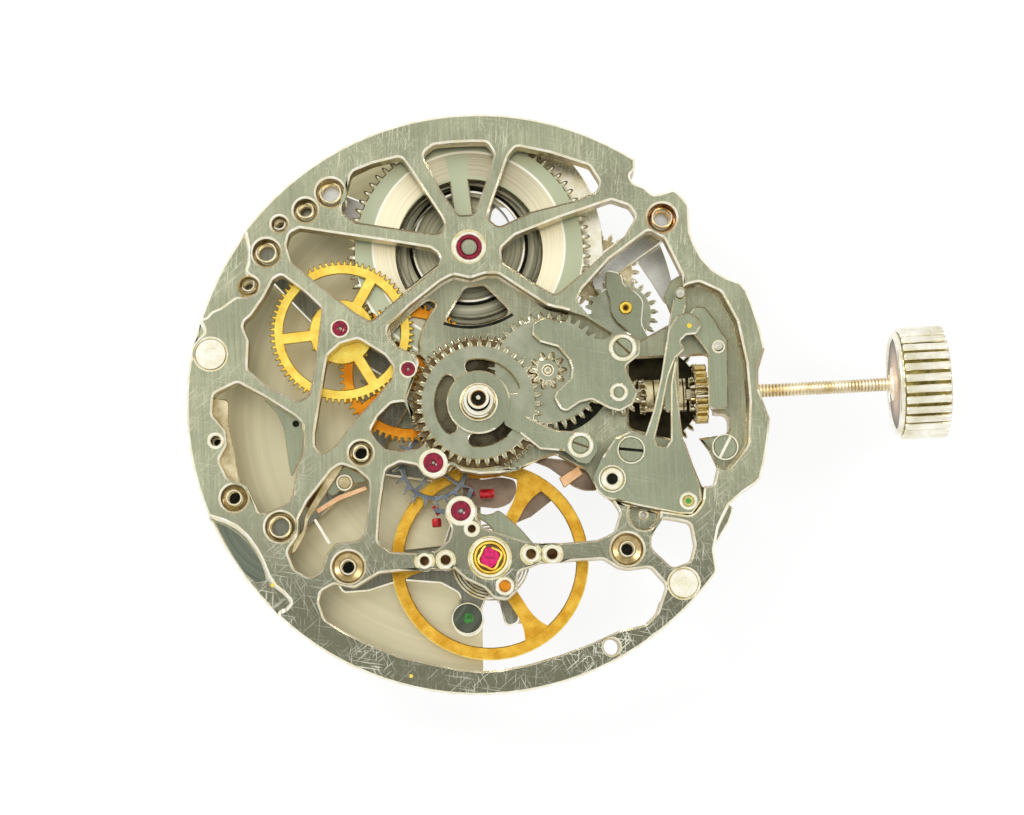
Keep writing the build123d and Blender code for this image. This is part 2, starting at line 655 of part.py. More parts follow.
# Plates over the motion work and the keyless work, in pixels
minute_bridge_px = [
    (533, 322), (532, 333), (540, 341), (558, 346), (569, 359), (572, 368), (571, 378), (557, 391),
    (554, 397), (561, 409), (567, 411), (580, 402), (592, 399), (609, 408), (620, 411), (633, 404),
    (638, 392), (627, 371), (626, 365), (640, 354), (641, 340), (626, 330), (604, 339), (590, 337),
    (575, 328), (560, 320), (545, 316),
]
guard_arm_px = [
    (503, 424), (512, 405), (525, 415), (538, 422), (556, 430), (585, 432), (597, 440), (597, 452),
    (588, 464), (578, 462), (565, 451), (540, 449), (520, 433),
]
jumper_px = [
    (615, 438), (602, 458), (593, 478), (597, 491), (605, 498), (640, 506), (680, 514), (692, 514),
    (702, 500), (700, 485), (687, 448), (683, 438), (679, 405), (676, 375), (679, 358), (675, 362),
    (671, 385), (671, 440), (666, 447), (658, 446), (655, 438), (662, 410), (669, 375), (676, 357),
    (685, 349), (681, 340), (687, 334), (697, 333), (702, 325), (699, 316), (689, 311), (677, 315),
    (669, 328), (661, 378),
    (653, 412), (645, 436), (632, 430),
]
cover_corner = 0.22
guard_ring_radius = 1.5
guard_bore = 0.85
minute_bridge_screw_px = (623, 347)
guard_screw_px = (580.5, 445)
jumper_screw_px = (631, 450)
jumper_pin_px = (688, 501)


def cover_foot(spot):
    """Stands a cover plate on the recess floor, with a tapped hole for its screw."""
    post(at(spot), 0.8 * pillar_radius, cover_bottom, recess_floor)
    post(at(spot), screw_shank_radius + pivot_play, cover_top + cut_overrun, recess_floor, Mode.SUBTRACT)


with BuildPart() as minute_wheel_bridge:
    slab(traced(minute_bridge_px, cover_corner), cover_top, cover_bottom)
    cover_foot(minute_bridge_screw_px)
minute_wheel_bridge.part.label = "minute_wheel_bridge"
export_step(minute_wheel_bridge.part, "parts/minute_wheel_bridge.step")

with BuildPart() as hour_wheel_guard:
    with BuildSketch(Plane.XY.offset(cover_top)) as guard_face:
        Circle(guard_ring_radius)
        add(traced(guard_arm_px, cover_corner))
        Circle(guard_bore, mode=Mode.SUBTRACT)
    extrude(guard_face.sketch, amount=-cover_thickness)
    cover_foot(guard_screw_px)
hour_wheel_guard.part.label = "hour_wheel_guard"
export_step(hour_wheel_guard.part, "parts/hour_wheel_guard.step")

with BuildPart() as setting_lever_jumper:
    slab(traced(jumper_px, 0.5 * cover_corner), cover_top, cover_bottom)
    cover_foot(jumper_screw_px)
    post(at(jumper_pin_px), post_radius, cover_bottom, recess_floor)
setting_lever_jumper.part.label = "setting_lever_jumper"
export_step(setting_lever_jumper.part, "parts/setting_lever_jumper.step")

# Screws: a slotted head on a shank
def screw(place, seat, down, length, head_radius=screw_head_radius):
    """A slotted screw whose head lies above the seat; down is -1 from the dial side and 1 from the rear."""
    head_end = seat - down * screw_head_height
    tip = seat + down * length
    post(place, head_radius, max(seat, head_end), min(seat, head_end))
    post(place, screw_shank_radius, max(seat, tip), min(seat, tip))
    slot_floor = head_end + down * screw_slot_depth
    with Locations((*place, (head_end + slot_floor) / 2)):
        Box(3 * head_radius, screw_slot_width, abs(head_end - slot_floor), rotation=(0, 0, 35),
            mode=Mode.SUBTRACT)


with BuildPart() as dial_side_screws:
    for spot in (minute_bridge_screw_px, guard_screw_px, jumper_screw_px):
        screw(at(spot), cover_top, -1, cover_thickness + 0.5 * pillar_radius, 0.9 * screw_head_radius)
dial_side_screws.part.label = "dial_side_screws"
export_step(dial_side_screws.part, "parts/dial_side_screws.step")

with BuildPart() as bridge_screws:
    for place in (*train_feet, *barrel_feet):
        screw(place, bridge_bottom, 1, bridge_thickness + pillar_radius)
    screw(cock_foot, cock_bottom, 1, cock_thickness + pillar_radius)
bridge_screws.part.label = "bridge_screws"
export_step(bridge_screws.part, "parts/bridge_screws.step")

# Jewels: those of the dial side lie flush with the plate, those of the rear with the bridge
with BuildPart() as plate_jewels:
    for place in dial_jewel_places:
        jewel(place, 0, jewel_radius, pivot_radius + pivot_play)
plate_jewels.part.label = "plate_jewels"
export_step(plate_jewels.part, "parts/plate_jewels.step")

with BuildPart() as bridge_jewels:
    for place in train_pivots:
        jewel(place, bridge_bottom, jewel_radius, pivot_radius + pivot_play, 1)
bridge_jewels.part.label = "bridge_jewels"
export_step(bridge_jewels.part, "parts/bridge_jewels.step")

# Centre tube: pressed into the recess floor, it carries the cannon pinion
tube_radius, tube_bore, tube_height = 0.26, 0.13, 0.3
cannon_bore, cannon_radius, minute_seat_radius = tube_radius + post_play, 0.46, 0.3
hour_bore, hour_pipe_radius, hour_seat_radius = cannon_radius + post_play, 0.78, 0.62
hour_shoulder_height, hour_post_height = 0.45, 1.1
minute_shoulder_height, cannon_post_height, seconds_post_height = 1.15, 1.75, 2.1

with BuildPart() as centre_tube:
    post(centre, 2.5 * post_radius, driving_bottom - face_play, web_bottom)
    post(centre, tube_radius, tube_height, web_bottom)
    post(centre, tube_bore, tube_height + cut_overrun, web_bottom - cut_overrun, Mode.SUBTRACT)
centre_tube.part.label = "centre_tube"
export_step(centre_tube.part, "parts/centre_tube.step")

# Going train
barrel_phase = 0
second_leaf_phase = meshed_phase(barrel_phase, barrel_teeth, second_leaves, heading(barrel_at, second_at))
third_leaf_phase = meshed_phase(0, second_teeth, third_leaves, heading(second_at, third_at))
fourth_leaf_phase = meshed_phase(0, third_teeth, fourth_leaves, heading(third_at, centre))
escape_leaf_phase = meshed_phase(0, fourth_teeth, escape_leaves, heading(centre, escape_at))
driving_phase = meshed_phase(0, driving_leaves, driving_teeth, heading(third_at, centre))
minute_phase = meshed_phase(0, cannon_leaves, minute_teeth, heading(centre, minute_at))
hour_phase = meshed_phase(0, minute_leaves, hour_teeth, heading(minute_at, centre))
setting_phase = meshed_phase(minute_phase, minute_teeth, setting_teeth, heading(minute_at, setting_at))

drum_radius = barrel_radius * (1 - 5 / barrel_teeth)
drum_wall = 0.35
drum_opening = 0.61 * barrel_radius
drum_hub_radius = 1.45
drum_spoke_width = 0.9
drum_plate = 0.22
drum_spoke_deg = [95, 215, 325]
spring_arbor_radius = 0.6
drum_sight_px = [(486, 228), (493, 195), (509, 196), (527, 212)]
sight_heading = heading(barrel_at, at(drum_sight_px[2]))

with BuildPart() as barrel_drum:
    slab(
        crossed_wheel(barrel_at, barrel_teeth, barrel_radius, drum_opening, drum_hub_radius,
                      drum_spoke_width, drum_spoke_deg),
        barrel_top, barrel_top - drum_plate,
    )
    post(barrel_at, drum_radius, barrel_top - drum_plate, barrel_bottom + drum_plate)
    post(barrel_at, drum_radius - drum_wall, barrel_top - drum_plate, barrel_bottom + drum_plate,
         Mode.SUBTRACT)
    post(barrel_at, spring_arbor_radius + post_play, barrel_top + cut_overrun, barrel_bottom, Mode.SUBTRACT)
barrel_drum.part.label = "barrel_drum"
export_step(barrel_drum.part, "parts/barrel_drum.step")

with BuildPart() as barrel_cover:
    with BuildSketch(Plane.XY.offset(barrel_bottom + drum_plate)) as cover_face:
        with Locations(barrel_at):
            Circle(drum_radius)
            Circle(spring_arbor_radius + post_play, mode=Mode.SUBTRACT)
        add(traced(drum_sight_px, window_corner), mode=Mode.SUBTRACT)
    extrude(cover_face.sketch, amount=-drum_plate)
barrel_cover.part.label = "barrel_cover"
export_step(barrel_cover.part, "parts/barrel_cover.step")

with BuildPart() as barrel_arbor:
    post(barrel_at, spring_arbor_radius, barrel_top - drum_plate, ratchet_bottom)
    post(barrel_at, spring_arbor_radius, barrel_top + face_play, barrel_top - drum_plate)
    post(barrel_at, 1.4 * spring_arbor_radius, barrel_top - drum_plate - face_play,
         barrel_bottom + drum_plate + face_play)
    post(barrel_at, bush_bore - pivot_play, -pivot_end, barrel_top)
barrel_arbor.part.label = "barrel_arbor"
export_step(barrel_arbor.part, "parts/barrel_arbor.step")


def going_wheel(place, top, thickness, face, leaves, leaf_radius, leaf_phase, leaf_top, leaf_bottom):
    """A wheel on its pinioned arbor, with a pivot at each end."""
    arbor(place, -pivot_end, bridge_bottom + pivot_end, arbor_radius)
    slab(face, top, top - thickness)
    slab(toothed(place, leaves, leaf_radius, leaf_phase), leaf_top, leaf_bottom)


gold_spokes = [58, 184, 299]
with BuildPart() as second_wheel:
    second_face = crossed_wheel(
        second_at, second_teeth, second_radius, 0.83 * second_radius, 0.46 * second_radius,
        0.16 * second_radius, gold_spokes,
    )
    going_wheel(
        second_at, second_top, second_thickness, second_face, second_leaves, second_leaf_radius,
        second_leaf_phase, barrel_top + face_play, barrel_top - drum_plate - face_play,
    )
second_wheel.part.label = "second_wheel"
export_step(second_wheel.part, "parts/second_wheel.step")

with BuildPart() as third_wheel:
    third_face = crossed_wheel(
        third_at, third_teeth, third_radius, 0.82 * third_radius, 0.3 * third_radius,
        0.13 * third_radius, [35, 125, 215, 305],
    )
    going_wheel(
        third_at, third_top, third_thickness, third_face, third_leaves, third_leaf_radius,
        third_leaf_phase, second_top + 0.5 * layer_gap, third_top,
    )
    slab(toothed(third_at, driving_leaves, driving_leaf_radius), driving_top + face_play,
         driving_bottom - face_play)
third_wheel.part.label = "third_wheel"
export_step(third_wheel.part, "parts/third_wheel.step")

with BuildPart() as fourth_wheel:
    fourth_face = crossed_wheel(
        centre, fourth_teeth, fourth_radius, 0.84 * fourth_radius, 0.3 * fourth_radius,
        0.12 * fourth_radius, [20, 110, 200, 290],
    )
    slab(fourth_face, fourth_top, fourth_bottom)
    slab(toothed(centre, fourth_leaves, fourth_leaf_radius, fourth_leaf_phase), third_top + 0.5 * layer_gap,
         third_bottom - 0.5 * layer_gap)
    post(centre, pivot_radius, seconds_post_height, bridge_bottom + pivot_end)
    post(centre, 0.75 * arbor_radius, web_bottom - face_play, bridge_bottom + jewel_thickness + face_play)
fourth_wheel.part.label = "fourth_wheel"
export_step(fourth_wheel.part, "parts/fourth_wheel.step")

# Escapement
escape_tip = 2.04
escape_tooth_shares = ((-0.3, 0.78), (0.12, 1.0), (0.22, 0.985), (0.16, 0.8))
pallet_distance = span(pallet_at, escape_at)
fork_heading = heading(pallet_at, balance_at)

with BuildPart() as escape_wheel:
    tooth_points = []
    for tooth in range(escape_teeth):
        for across, reach in escape_tooth_shares:
            tooth_points.append(polar(escape_at, reach * escape_tip, (tooth + across) * 360 / escape_teeth))
    with BuildSketch(Plane.XY.offset(escape_top)) as escape_face:
        with BuildLine():
            Polyline(*tooth_points, close=True)
        make_face()
        with Locations(escape_at):
            Circle(0.68 * escape_tip, mode=Mode.SUBTRACT)
            Circle(0.24 * escape_tip)
        for angle in (50, 140, 230, 320):
            add(bar(escape_at, polar(escape_at, 0.72 * escape_tip, angle), 0.09 * escape_tip))
    extrude(escape_face.sketch, amount=-escape_thickness)
    arbor(escape_at, -pivot_end, bridge_bottom + pivot_end, 0.75 * arbor_radius)
    slab(toothed(escape_at, escape_leaves, escape_leaf_radius, escape_leaf_phase), fourth_top + face_play,
         fourth_bottom - face_play)
escape_wheel.part.label = "escape_wheel"
export_step(escape_wheel.part, "parts/escape_wheel.step")

roller_pin_radius = 0.45
fork_length = span(pallet_at, balance_at) - roller_pin_radius
stone_width, stone_length = 0.16, 0.5
stone_reach = 0.72 * escape_tip
escape_heading = heading(pallet_at, escape_at)
stone_turn = 52

with BuildPart() as pallet_fork:
    with BuildSketch(Plane.XY.offset(escape_top)) as fork_face:
        with Locations(pallet_at):
            Circle(1.6 * arbor_radius)
        add(bar(pallet_at, polar(pallet_at, fork_length - 2 * stone_width, fork_heading), stone_width))
        for turn in (-stone_turn, stone_turn):
            add(bar(pallet_at, polar(pallet_at, stone_reach - 0.5 * stone_length, escape_heading + turn),
                    1.3 * stone_width))
        horn = polar(pallet_at, fork_length - stone_width, fork_heading)
        for side in (-1, 1):
            foot = polar(horn, 1.1 * stone_width * side, fork_heading + 90)
            add(bar(polar(pallet_at, fork_length - 2 * stone_width, fork_heading), foot, 0.6 * stone_width))
            add(bar(foot, polar(foot, 1.6 * stone_width, fork_heading), 0.5 * stone_width))
    extrude(fork_face.sketch, amount=-escape_thickness)
    arbor(pallet_at, -pivot_end, pallet_bridge_bottom + pivot_end, 0.75 * arbor_radius)
pallet_fork.part.label = "pallet_fork"
export_step(pallet_fork.part, "parts/pallet_fork.step")

with BuildPart() as pallet_stones:
    for turn in (-stone_turn, stone_turn):
        root = polar(pallet_at, stone_reach - 0.5 * stone_length, escape_heading + turn)
        with Locations(Location((*root, escape_bottom - 0.5 * stone_width), (0, 0, escape_heading))):
            Box(stone_length, 1.2 * stone_width, 0.5 * stone_width,
                align=(Align.CENTER, Align.CENTER, Align.CENTER))
pallet_stones.part.label = "pallet_stones"
export_step(pallet_stones.part, "parts/pallet_stones.step")

# Barrel bush: pressed into the plate from the dial side
with BuildPart() as barrel_bush:
    post(barrel_at, bush_radius, 0, web_bottom)
    post(barrel_at, bush_bore, cut_overrun, web_bottom - cut_overrun, Mode.SUBTRACT)
barrel_bush.part.label = "barrel_bush"
export_step(barrel_bush.part, "parts/barrel_bush.step")


# Springs wound as one unbroken spiral of half turns
def spiral(place, first_radius, pitch, half_turns, start_angle):
    """Draws a spiral of half circles, each from its own centre, into the open line."""
    radius = first_radius
    point = polar(place, radius, start_angle)
    angle = start_angle
    for _ in range(half_turns):
        next_radius = radius + pitch / 2
        next_point = polar(place, next_radius, angle + 180)
        middle_radius = (radius + next_radius) / 2
        half_way = ((point[0] + next_point[0]) / 2, (point[1] + next_point[1]) / 2)
        ThreePointArc(point, polar(half_way, middle_radius, angle + 90), next_point)
        radius, point, angle = next_radius, next_point, angle + 180
    return point


def least_gap(first_radius, pitch, half_turns, blade, steps):
    """Smallest distance between neighbouring turns, measured on points along the spiral."""
    samples = []
    for step in range(steps * half_turns + 1):
        angle = 180 * step / steps
        radius = first_radius + pitch * angle / 360
        samples.append((angle, polar(centre, radius, angle)))
    gaps = [span(a, b) for i, (p, a) in enumerate(samples) for q, b in samples[i + 1:] if q - p >= 270]
    return min(gaps) - blade


def wound_spring(place, first_radius, pitch, half_turns, start_angle, blade, top, bottom):
    """Sweeps a flat blade along the spiral, as a wall between two heights."""
    with BuildLine(Plane.XY.offset(bottom)) as path:
        spiral(place, first_radius, pitch, half_turns, start_angle)
    start = polar(place, first_radius, start_angle)
    with BuildSketch(Plane(origin=(*start, (top + bottom) / 2), x_dir=(cos(radians(start_angle)),
                     sin(radians(start_angle)), 0), z_dir=path.line % 0)) as section:
        Rectangle(blade, top - bottom)
    sweep(section.sketch, path=path.line)


hairspring_start, hairspring_pitch, hairspring_half_turns = 0.55, 0.5, 7
hairspring_blade, hairspring_height = 0.07, 0.16
hairspring_top = balance_bottom - 2 * layer_gap
mainspring_pitch, mainspring_half_turns, mainspring_blade = 0.56, 13, 0.1
mainspring_start = 1.4 * spring_arbor_radius + 0.5 * mainspring_blade + face_play
hairspring_gap = least_gap(hairspring_start, hairspring_pitch, hairspring_half_turns, hairspring_blade, 48)
print("hairspring gap", round(hairspring_gap, 3))
mainspring_gap = least_gap(mainspring_start, mainspring_pitch, mainspring_half_turns, mainspring_blade, 48)
print("mainspring gap", round(mainspring_gap, 3))

with BuildPart() as mainspring:
    wound_spring(barrel_at, mainspring_start, mainspring_pitch, mainspring_half_turns, 0, mainspring_blade,
                 barrel_top - drum_plate - face_play, barrel_bottom + drum_plate + face_play)
mainspring.part.label = "mainspring"
export_step(mainspring.part, "parts/mainspring.step")

with BuildPart() as hairspring:
    wound_spring(balance_at, hairspring_start, hairspring_pitch, hairspring_half_turns, 0, hairspring_blade,
                 hairspring_top, hairspring_top - hairspring_height)
hairspring.part.label = "hairspring"
export_step(hairspring.part, "parts/hairspring.step")

# Balance with its staff, roller and collet, and the two shock settings that hold its pivots
balance_outer = 4.72
balance_rim_width = 0.6
balance_arm_width = 0.62
balance_web = 0.14
balance_bore = 0.3
staff_radius = 0.16
roller_radius = 0.62

with BuildPart() as balance_wheel:
    with BuildSketch(Plane.XY.offset(balance_top)) as balance_rim:
        with Locations(balance_at):
            Circle(balance_outer)
            Circle(balance_outer - balance_rim_width, mode=Mode.SUBTRACT)
    extrude(balance_rim.sketch, amount=-balance_thickness)
    with BuildSketch(Plane.XY.offset(balance_top - 0.25 * balance_thickness)) as balance_arms:
        with Locations(balance_at):
            Circle(2.2 * balance_bore)
        for angle in (60, 180, 300):
            add(bar(balance_at, polar(balance_at, balance_outer - balance_rim_width, angle),
                    balance_arm_width))
        with Locations(balance_at):
            Circle(balance_bore, mode=Mode.SUBTRACT)
    extrude(balance_arms.sketch, amount=-balance_web)
balance_wheel.part.label = "balance_wheel"
export_step(balance_wheel.part, "parts/balance_wheel.step")

staff_top = -1.4 * jewel_thickness
staff_bottom = cock_bottom + 0.4 * jewel_thickness
roller_top = escape_top + 0.6 * layer_gap + stone_width
roller_bottom = roller_top - stone_width

with BuildPart() as balance_staff:
    arbor(balance_at, staff_top, staff_bottom, staff_radius)
    post(balance_at, balance_bore, balance_top, balance_bottom)
    post(balance_at, roller_radius, roller_top, roller_bottom)
    pin_at = polar(balance_at, roller_pin_radius, heading(balance_at, pallet_at))
    post(pin_at, 0.35 * stone_width, roller_bottom, escape_bottom + face_play)
balance_staff.part.label = "balance_staff"
export_step(balance_staff.part, "parts/balance_staff.step")

with BuildPart() as hairspring_collet:
    post(balance_at, hairspring_start - hairspring_blade, hairspring_top + 0.5 * layer_gap,
         hairspring_top - hairspring_height - 0.5 * layer_gap)
    post(balance_at, staff_radius, hairspring_top + cut_overrun, hairspring_top - cut_overrun, Mode.SUBTRACT)
hairspring_collet.part.label = "hairspring_collet"
export_step(hairspring_collet.part, "parts/hairspring_collet.step")

with BuildPart() as dial_side_shock_setting:
    post(balance_at, shock_radius, 0, -0.9 * shock_radius)
    post(balance_at, shock_bore, cut_overrun, -shock_radius, Mode.SUBTRACT)
dial_side_shock_setting.part.label = "dial_side_shock_setting"
export_step(dial_side_shock_setting.part, "parts/dial_side_shock_setting.step")

with BuildPart() as shock_jewels:
    post(balance_at, shock_bore, -0.3 * jewel_thickness, staff_top + face_play)
    post(balance_at, shock_bore, staff_top - face_play, staff_top - jewel_thickness)
    post(balance_at, pivot_radius + pivot_play, staff_top, staff_top - jewel_thickness - cut_overrun,
         Mode.SUBTRACT)
    post(balance_at, shock_bore, staff_bottom + jewel_thickness, staff_bottom + face_play)
    post(balance_at, pivot_radius + pivot_play, staff_bottom + jewel_thickness + cut_overrun, staff_bottom,
         Mode.SUBTRACT)
shock_jewels.part.label = "shock_jewels"
export_step(shock_jewels.part, "parts/shock_jewels.step")

# Regulator and hairspring stud on the rear cock
regulator_tail_px = (520, 616)
regulator_thickness = 0.16

with BuildPart() as regulator:
    with BuildSketch(Plane.XY.offset(cock_bottom)) as regulator_face:
        with Locations(balance_at):
            Circle(1.2 * shock_radius)
        add(bar(balance_at, at(regulator_tail_px), 0.5 * shock_radius))
        with Locations(balance_at):
            Circle(1.6 * jewel_radius, mode=Mode.SUBTRACT)
    extrude(regulator_face.sketch, amount=-regulator_thickness)
regulator.part.label = "regulator"
export_step(regulator.part, "parts/regulator.step")

with BuildPart() as hairspring_stud:
    post(at(stud_px), 2.2 * post_radius, cock_top + 2 * regulator_thickness, cock_top)
hairspring_stud.part.label = "hairspring_stud"
export_step(hairspring_stud.part, "parts/hairspring_stud.step")

# Motion work
with BuildPart() as cannon_pinion:
    post(centre, cannon_radius, minute_shoulder_height, driving_bottom)
    post(centre, minute_seat_radius, cannon_post_height, minute_shoulder_height)
    slab(toothed(centre, cannon_leaves, cannon_leaf_radius), hour_bottom - face_play,
         driving_top + 0.5 * face_play)
    post(centre, cannon_bore, tube_height + face_play, driving_bottom - cut_overrun, Mode.SUBTRACT)
    post(centre, tube_bore, cannon_post_height + cut_overrun, tube_height, Mode.SUBTRACT)
cannon_pinion.part.label = "cannon_pinion"
export_step(cannon_pinion.part, "parts/cannon_pinion.step")

with BuildPart() as cannon_driving_wheel:
    with BuildSketch(Plane.XY.offset(driving_top)) as driving_face:
        add(crossed_wheel(centre, driving_teeth, driving_radius, 0.8 * driving_radius, 0.35 * driving_radius,
                          0.15 * driving_radius, [70, 190, 310], driving_phase))
        Circle(cannon_radius, mode=Mode.SUBTRACT)
    extrude(driving_face.sketch, amount=-driving_thickness)
cannon_driving_wheel.part.label = "cannon_driving_wheel"
export_step(cannon_driving_wheel.part, "parts/cannon_driving_wheel.step")

slot_inner, slot_outer = 1.45, 2.05
slot_angles = (60, 180, 300)
slot_half_angle = 38

with BuildPart() as hour_wheel:
    with BuildSketch(Plane.XY.offset(hour_top)) as hour_face:
        add(toothed(centre, hour_teeth, hour_radius, hour_phase))
        for angle in slot_angles:
            with BuildLine():
                first, last = angle - slot_half_angle, angle + slot_half_angle
                inner = ThreePointArc(polar(centre, slot_inner, first), polar(centre, slot_inner, angle),
                                      polar(centre, slot_inner, last))
                outer = ThreePointArc(polar(centre, slot_outer, first), polar(centre, slot_outer, angle),
                                      polar(centre, slot_outer, last))
                middle = (slot_inner + slot_outer) / 2
                reach = degrees((slot_outer - slot_inner) / 2 / middle)
                ThreePointArc(inner @ 0, polar(centre, middle, first - reach), outer @ 0)
                ThreePointArc(inner @ 1, polar(centre, middle, last + reach), outer @ 1)
            make_face(mode=Mode.SUBTRACT)
    extrude(hour_face.sketch, amount=-hour_thickness)
    post(centre, hour_pipe_radius, hour_shoulder_height, hour_bottom)
    post(centre, hour_seat_radius, hour_post_height, hour_shoulder_height)
    post(centre, hour_bore, hour_post_height + cut_overrun, hour_bottom - cut_overrun, Mode.SUBTRACT)
hour_wheel.part.label = "hour_wheel"
export_step(hour_wheel.part, "parts/hour_wheel.step")

with BuildPart() as minute_wheel:
    slab(toothed(minute_at, minute_teeth, minute_radius, minute_phase), minute_top, minute_bottom)
    slab(toothed(minute_at, minute_leaves, minute_leaf_radius), hour_top + face_play, minute_top)
    post(minute_at, post_radius + post_play, cut_overrun, minute_bottom - cut_overrun, Mode.SUBTRACT)
minute_wheel.part.label = "minute_wheel"
export_step(minute_wheel.part, "parts/minute_wheel.step")

with BuildPart() as setting_wheel:
    slab(toothed(setting_at, setting_teeth, setting_radius, setting_phase), minute_top, minute_bottom)
    post(setting_at, post_radius + post_play, cut_overrun, minute_bottom - cut_overrun, Mode.SUBTRACT)
setting_wheel.part.label = "setting_wheel"
export_step(setting_wheel.part, "parts/setting_wheel.step")

# Keyless work along the stem
thread_pitch, thread_depth = 0.16, 0.05
crown_radius, crown_knurls, knurl_depth = 2.46, 30, 0.16
crown_recess_radius, crown_recess_depth, crown_boss_radius = 2.1, 0.5, 0.6
crown_plain_length, crown_round = 0.75, 0.25


def square_rod(start_x, end_x, side, mode=Mode.ADD):
    """A square rod along the stem's axis."""
    with Locations((start_x, 0, stem_height)):
        Box(end_x - start_x, side, side, align=(Align.MIN, Align.CENTER, Align.CENTER), mode=mode)


with BuildPart() as stem:
    rod(stem_tail_x, stem_square_x, stem_tail_radius)
    square_rod(stem_square_x, pinion_x, stem_square)
    rod(pinion_x, groove_x, stem_seat_radius)
    rod(groove_x, groove_end_x, stem_groove_radius)
    rod(groove_end_x, stem_body_end_x, stem_radius)
    threads = int((crown_x - stem_body_end_x) / thread_pitch)
    with BuildSketch(Plane.XZ) as thread_profile:
        with BuildLine():
            points = [(stem_body_end_x, stem_height)]
            for thread in range(threads):
                x = stem_body_end_x + thread * thread_pitch
                points.append((x, stem_height + stem_thread_radius - thread_depth))
                points.append((x + thread_pitch / 2, stem_height + stem_thread_radius))
            points.append((crown_x + crown_recess_depth, stem_height + stem_thread_radius - thread_depth))
            points.append((crown_x + crown_recess_depth, stem_height))
            Polyline(*points, close=True)
        make_face()
    revolve(thread_profile.sketch, axis=Axis((0, 0, stem_height), (1, 0, 0)))
stem.part.label = "stem"
export_step(stem.part, "parts/stem.step")

with BuildPart() as crown:
    with BuildSketch(Plane.XZ) as crown_profile:
        with BuildLine():
            Polyline(
                (crown_x + crown_recess_depth, stem_height),
                (crown_x, stem_height),
                (crown_x, stem_height + crown_boss_radius),
                (crown_x + crown_recess_depth, stem_height + crown_boss_radius),
                (crown_x + crown_recess_depth, stem_height + crown_recess_radius),
                (crown_x, stem_height + crown_recess_radius),
                (crown_x, stem_height + crown_radius - knurl_depth),
                (crown_x + knurl_depth, stem_height + crown_radius),
                (crown_end_x - crown_round, stem_height + crown_radius),
                (crown_end_x, stem_height + crown_radius - crown_round),
                (crown_end_x, stem_height), close=True,
            )
        make_face()
    revolve(crown_profile.sketch, axis=Axis((0, 0, stem_height), (1, 0, 0)))
    rod(crown_x, crown_x + crown_recess_depth, stem_thread_radius, Mode.SUBTRACT)
    with BuildSketch(Plane.YZ.offset(crown_end_x)) as knurls:
        for knurl in range(crown_knurls):
            angle = knurl * 360 / crown_knurls
            y, z = polar((0, stem_height), crown_radius + 0.35 * knurl_depth, angle)
            with Locations((y, z)):
                Circle(knurl_depth)
    extrude(knurls.sketch, amount=crown_x + crown_plain_length - crown_end_x, mode=Mode.SUBTRACT)
crown.part.label = "crown"
export_step(crown.part, "parts/crown.step")


def ring_teeth(start_x, end_x, teeth, inner_radius, outer_radius):
    """Face teeth round the stem's axis, as small blocks."""
    for tooth in range(teeth):
        angle = tooth * 360 / teeth
        y, z = polar((0, 0), (inner_radius + outer_radius) / 2, angle)
        with Locations(Location(((start_x + end_x) / 2, y, stem_height + z), (angle, 0, 0))):
            Box(abs(end_x - start_x), outer_radius - inner_radius, pi * inner_radius / teeth)


face_teeth = 16
face_tooth_height = 0.22

with BuildPart() as winding_pinion:
    with BuildSketch(Plane.YZ.offset(pinion_x)) as pinion_face:
        pitch = winding_pinion_tip / (1 + 2 / winding_teeth)
        add(toothed((0, stem_height), winding_teeth, pitch, 270 + 180 / winding_teeth))
        with Locations((0, stem_height)):
            Circle(stem_seat_radius + post_play, mode=Mode.SUBTRACT)
    extrude(pinion_face.sketch, amount=pinion_end_x - pinion_x)
    ring_teeth(pinion_x - face_tooth_height, pinion_x + face_play, face_teeth, 1.4 * stem_groove_radius,
               clutch_radius)
winding_pinion.part.label = "winding_pinion"
export_step(winding_pinion.part, "parts/winding_pinion.step")

clutch_groove_x, clutch_groove_end_x = 8.65, 9.15
with BuildPart() as clutch_wheel:
    rod(clutch_x + face_tooth_height, clutch_groove_x, clutch_radius)
    rod(clutch_groove_x, clutch_groove_end_x, clutch_groove_radius)
    rod(clutch_groove_end_x, clutch_end_x - face_tooth_height, clutch_radius)
    ring_teeth(clutch_x, clutch_x + face_tooth_height + face_play, face_teeth, 1.4 * stem_groove_radius,
               clutch_radius)
    square_rod(clutch_x - cut_overrun, clutch_end_x + cut_overrun, stem_square + 2 * pivot_play,
               Mode.SUBTRACT)
clutch_wheel.part.label = "clutch_wheel"
export_step(clutch_wheel.part, "parts/clutch_wheel.step")

# Setting lever and yoke lie in the hour wheel's layer, each on a pin
setting_lever_px = [
    (690, 312), (697, 304), (706, 305), (716, 318), (723, 331), (729, 338), (729, 408), (709, 408),
    (709, 352), (703, 343), (694, 332),
]
setting_lever_pivot_px = (719, 345)
yoke_px = [
    (676, 286), (688, 288), (688, 300), (683, 320), (679, 350), (680, 408), (668, 412), (664, 408),
    (666, 350), (670, 320), (674, 300),
]
yoke_pivot_px = (681, 292)
lever_pin_radius = 0.14
yoke_tip_px = (672, 405)
lever_lug_px = (718, 389)
lever_bottom = hour_bottom - face_play

with BuildPart() as setting_lever:
    slab(traced(setting_lever_px, cover_corner), hour_top, lever_bottom)
    post(at(lever_lug_px), lever_pin_radius, hour_top, stem_height + stem_groove_radius + face_play)
    post(at(setting_lever_pivot_px), post_radius + post_play, cut_overrun, lever_bottom - cut_overrun,
         Mode.SUBTRACT)
setting_lever.part.label = "setting_lever"
export_step(setting_lever.part, "parts/setting_lever.step")

with BuildPart() as yoke:
    slab(traced(yoke_px, cover_corner), hour_top, lever_bottom)
    post(at(yoke_tip_px), lever_pin_radius, hour_top, stem_height + clutch_groove_radius + face_play)
    post(at(yoke_pivot_px), post_radius + post_play, cut_overrun, lever_bottom - cut_overrun, Mode.SUBTRACT)
yoke.part.label = "yoke"
export_step(yoke.part, "parts/yoke.step")

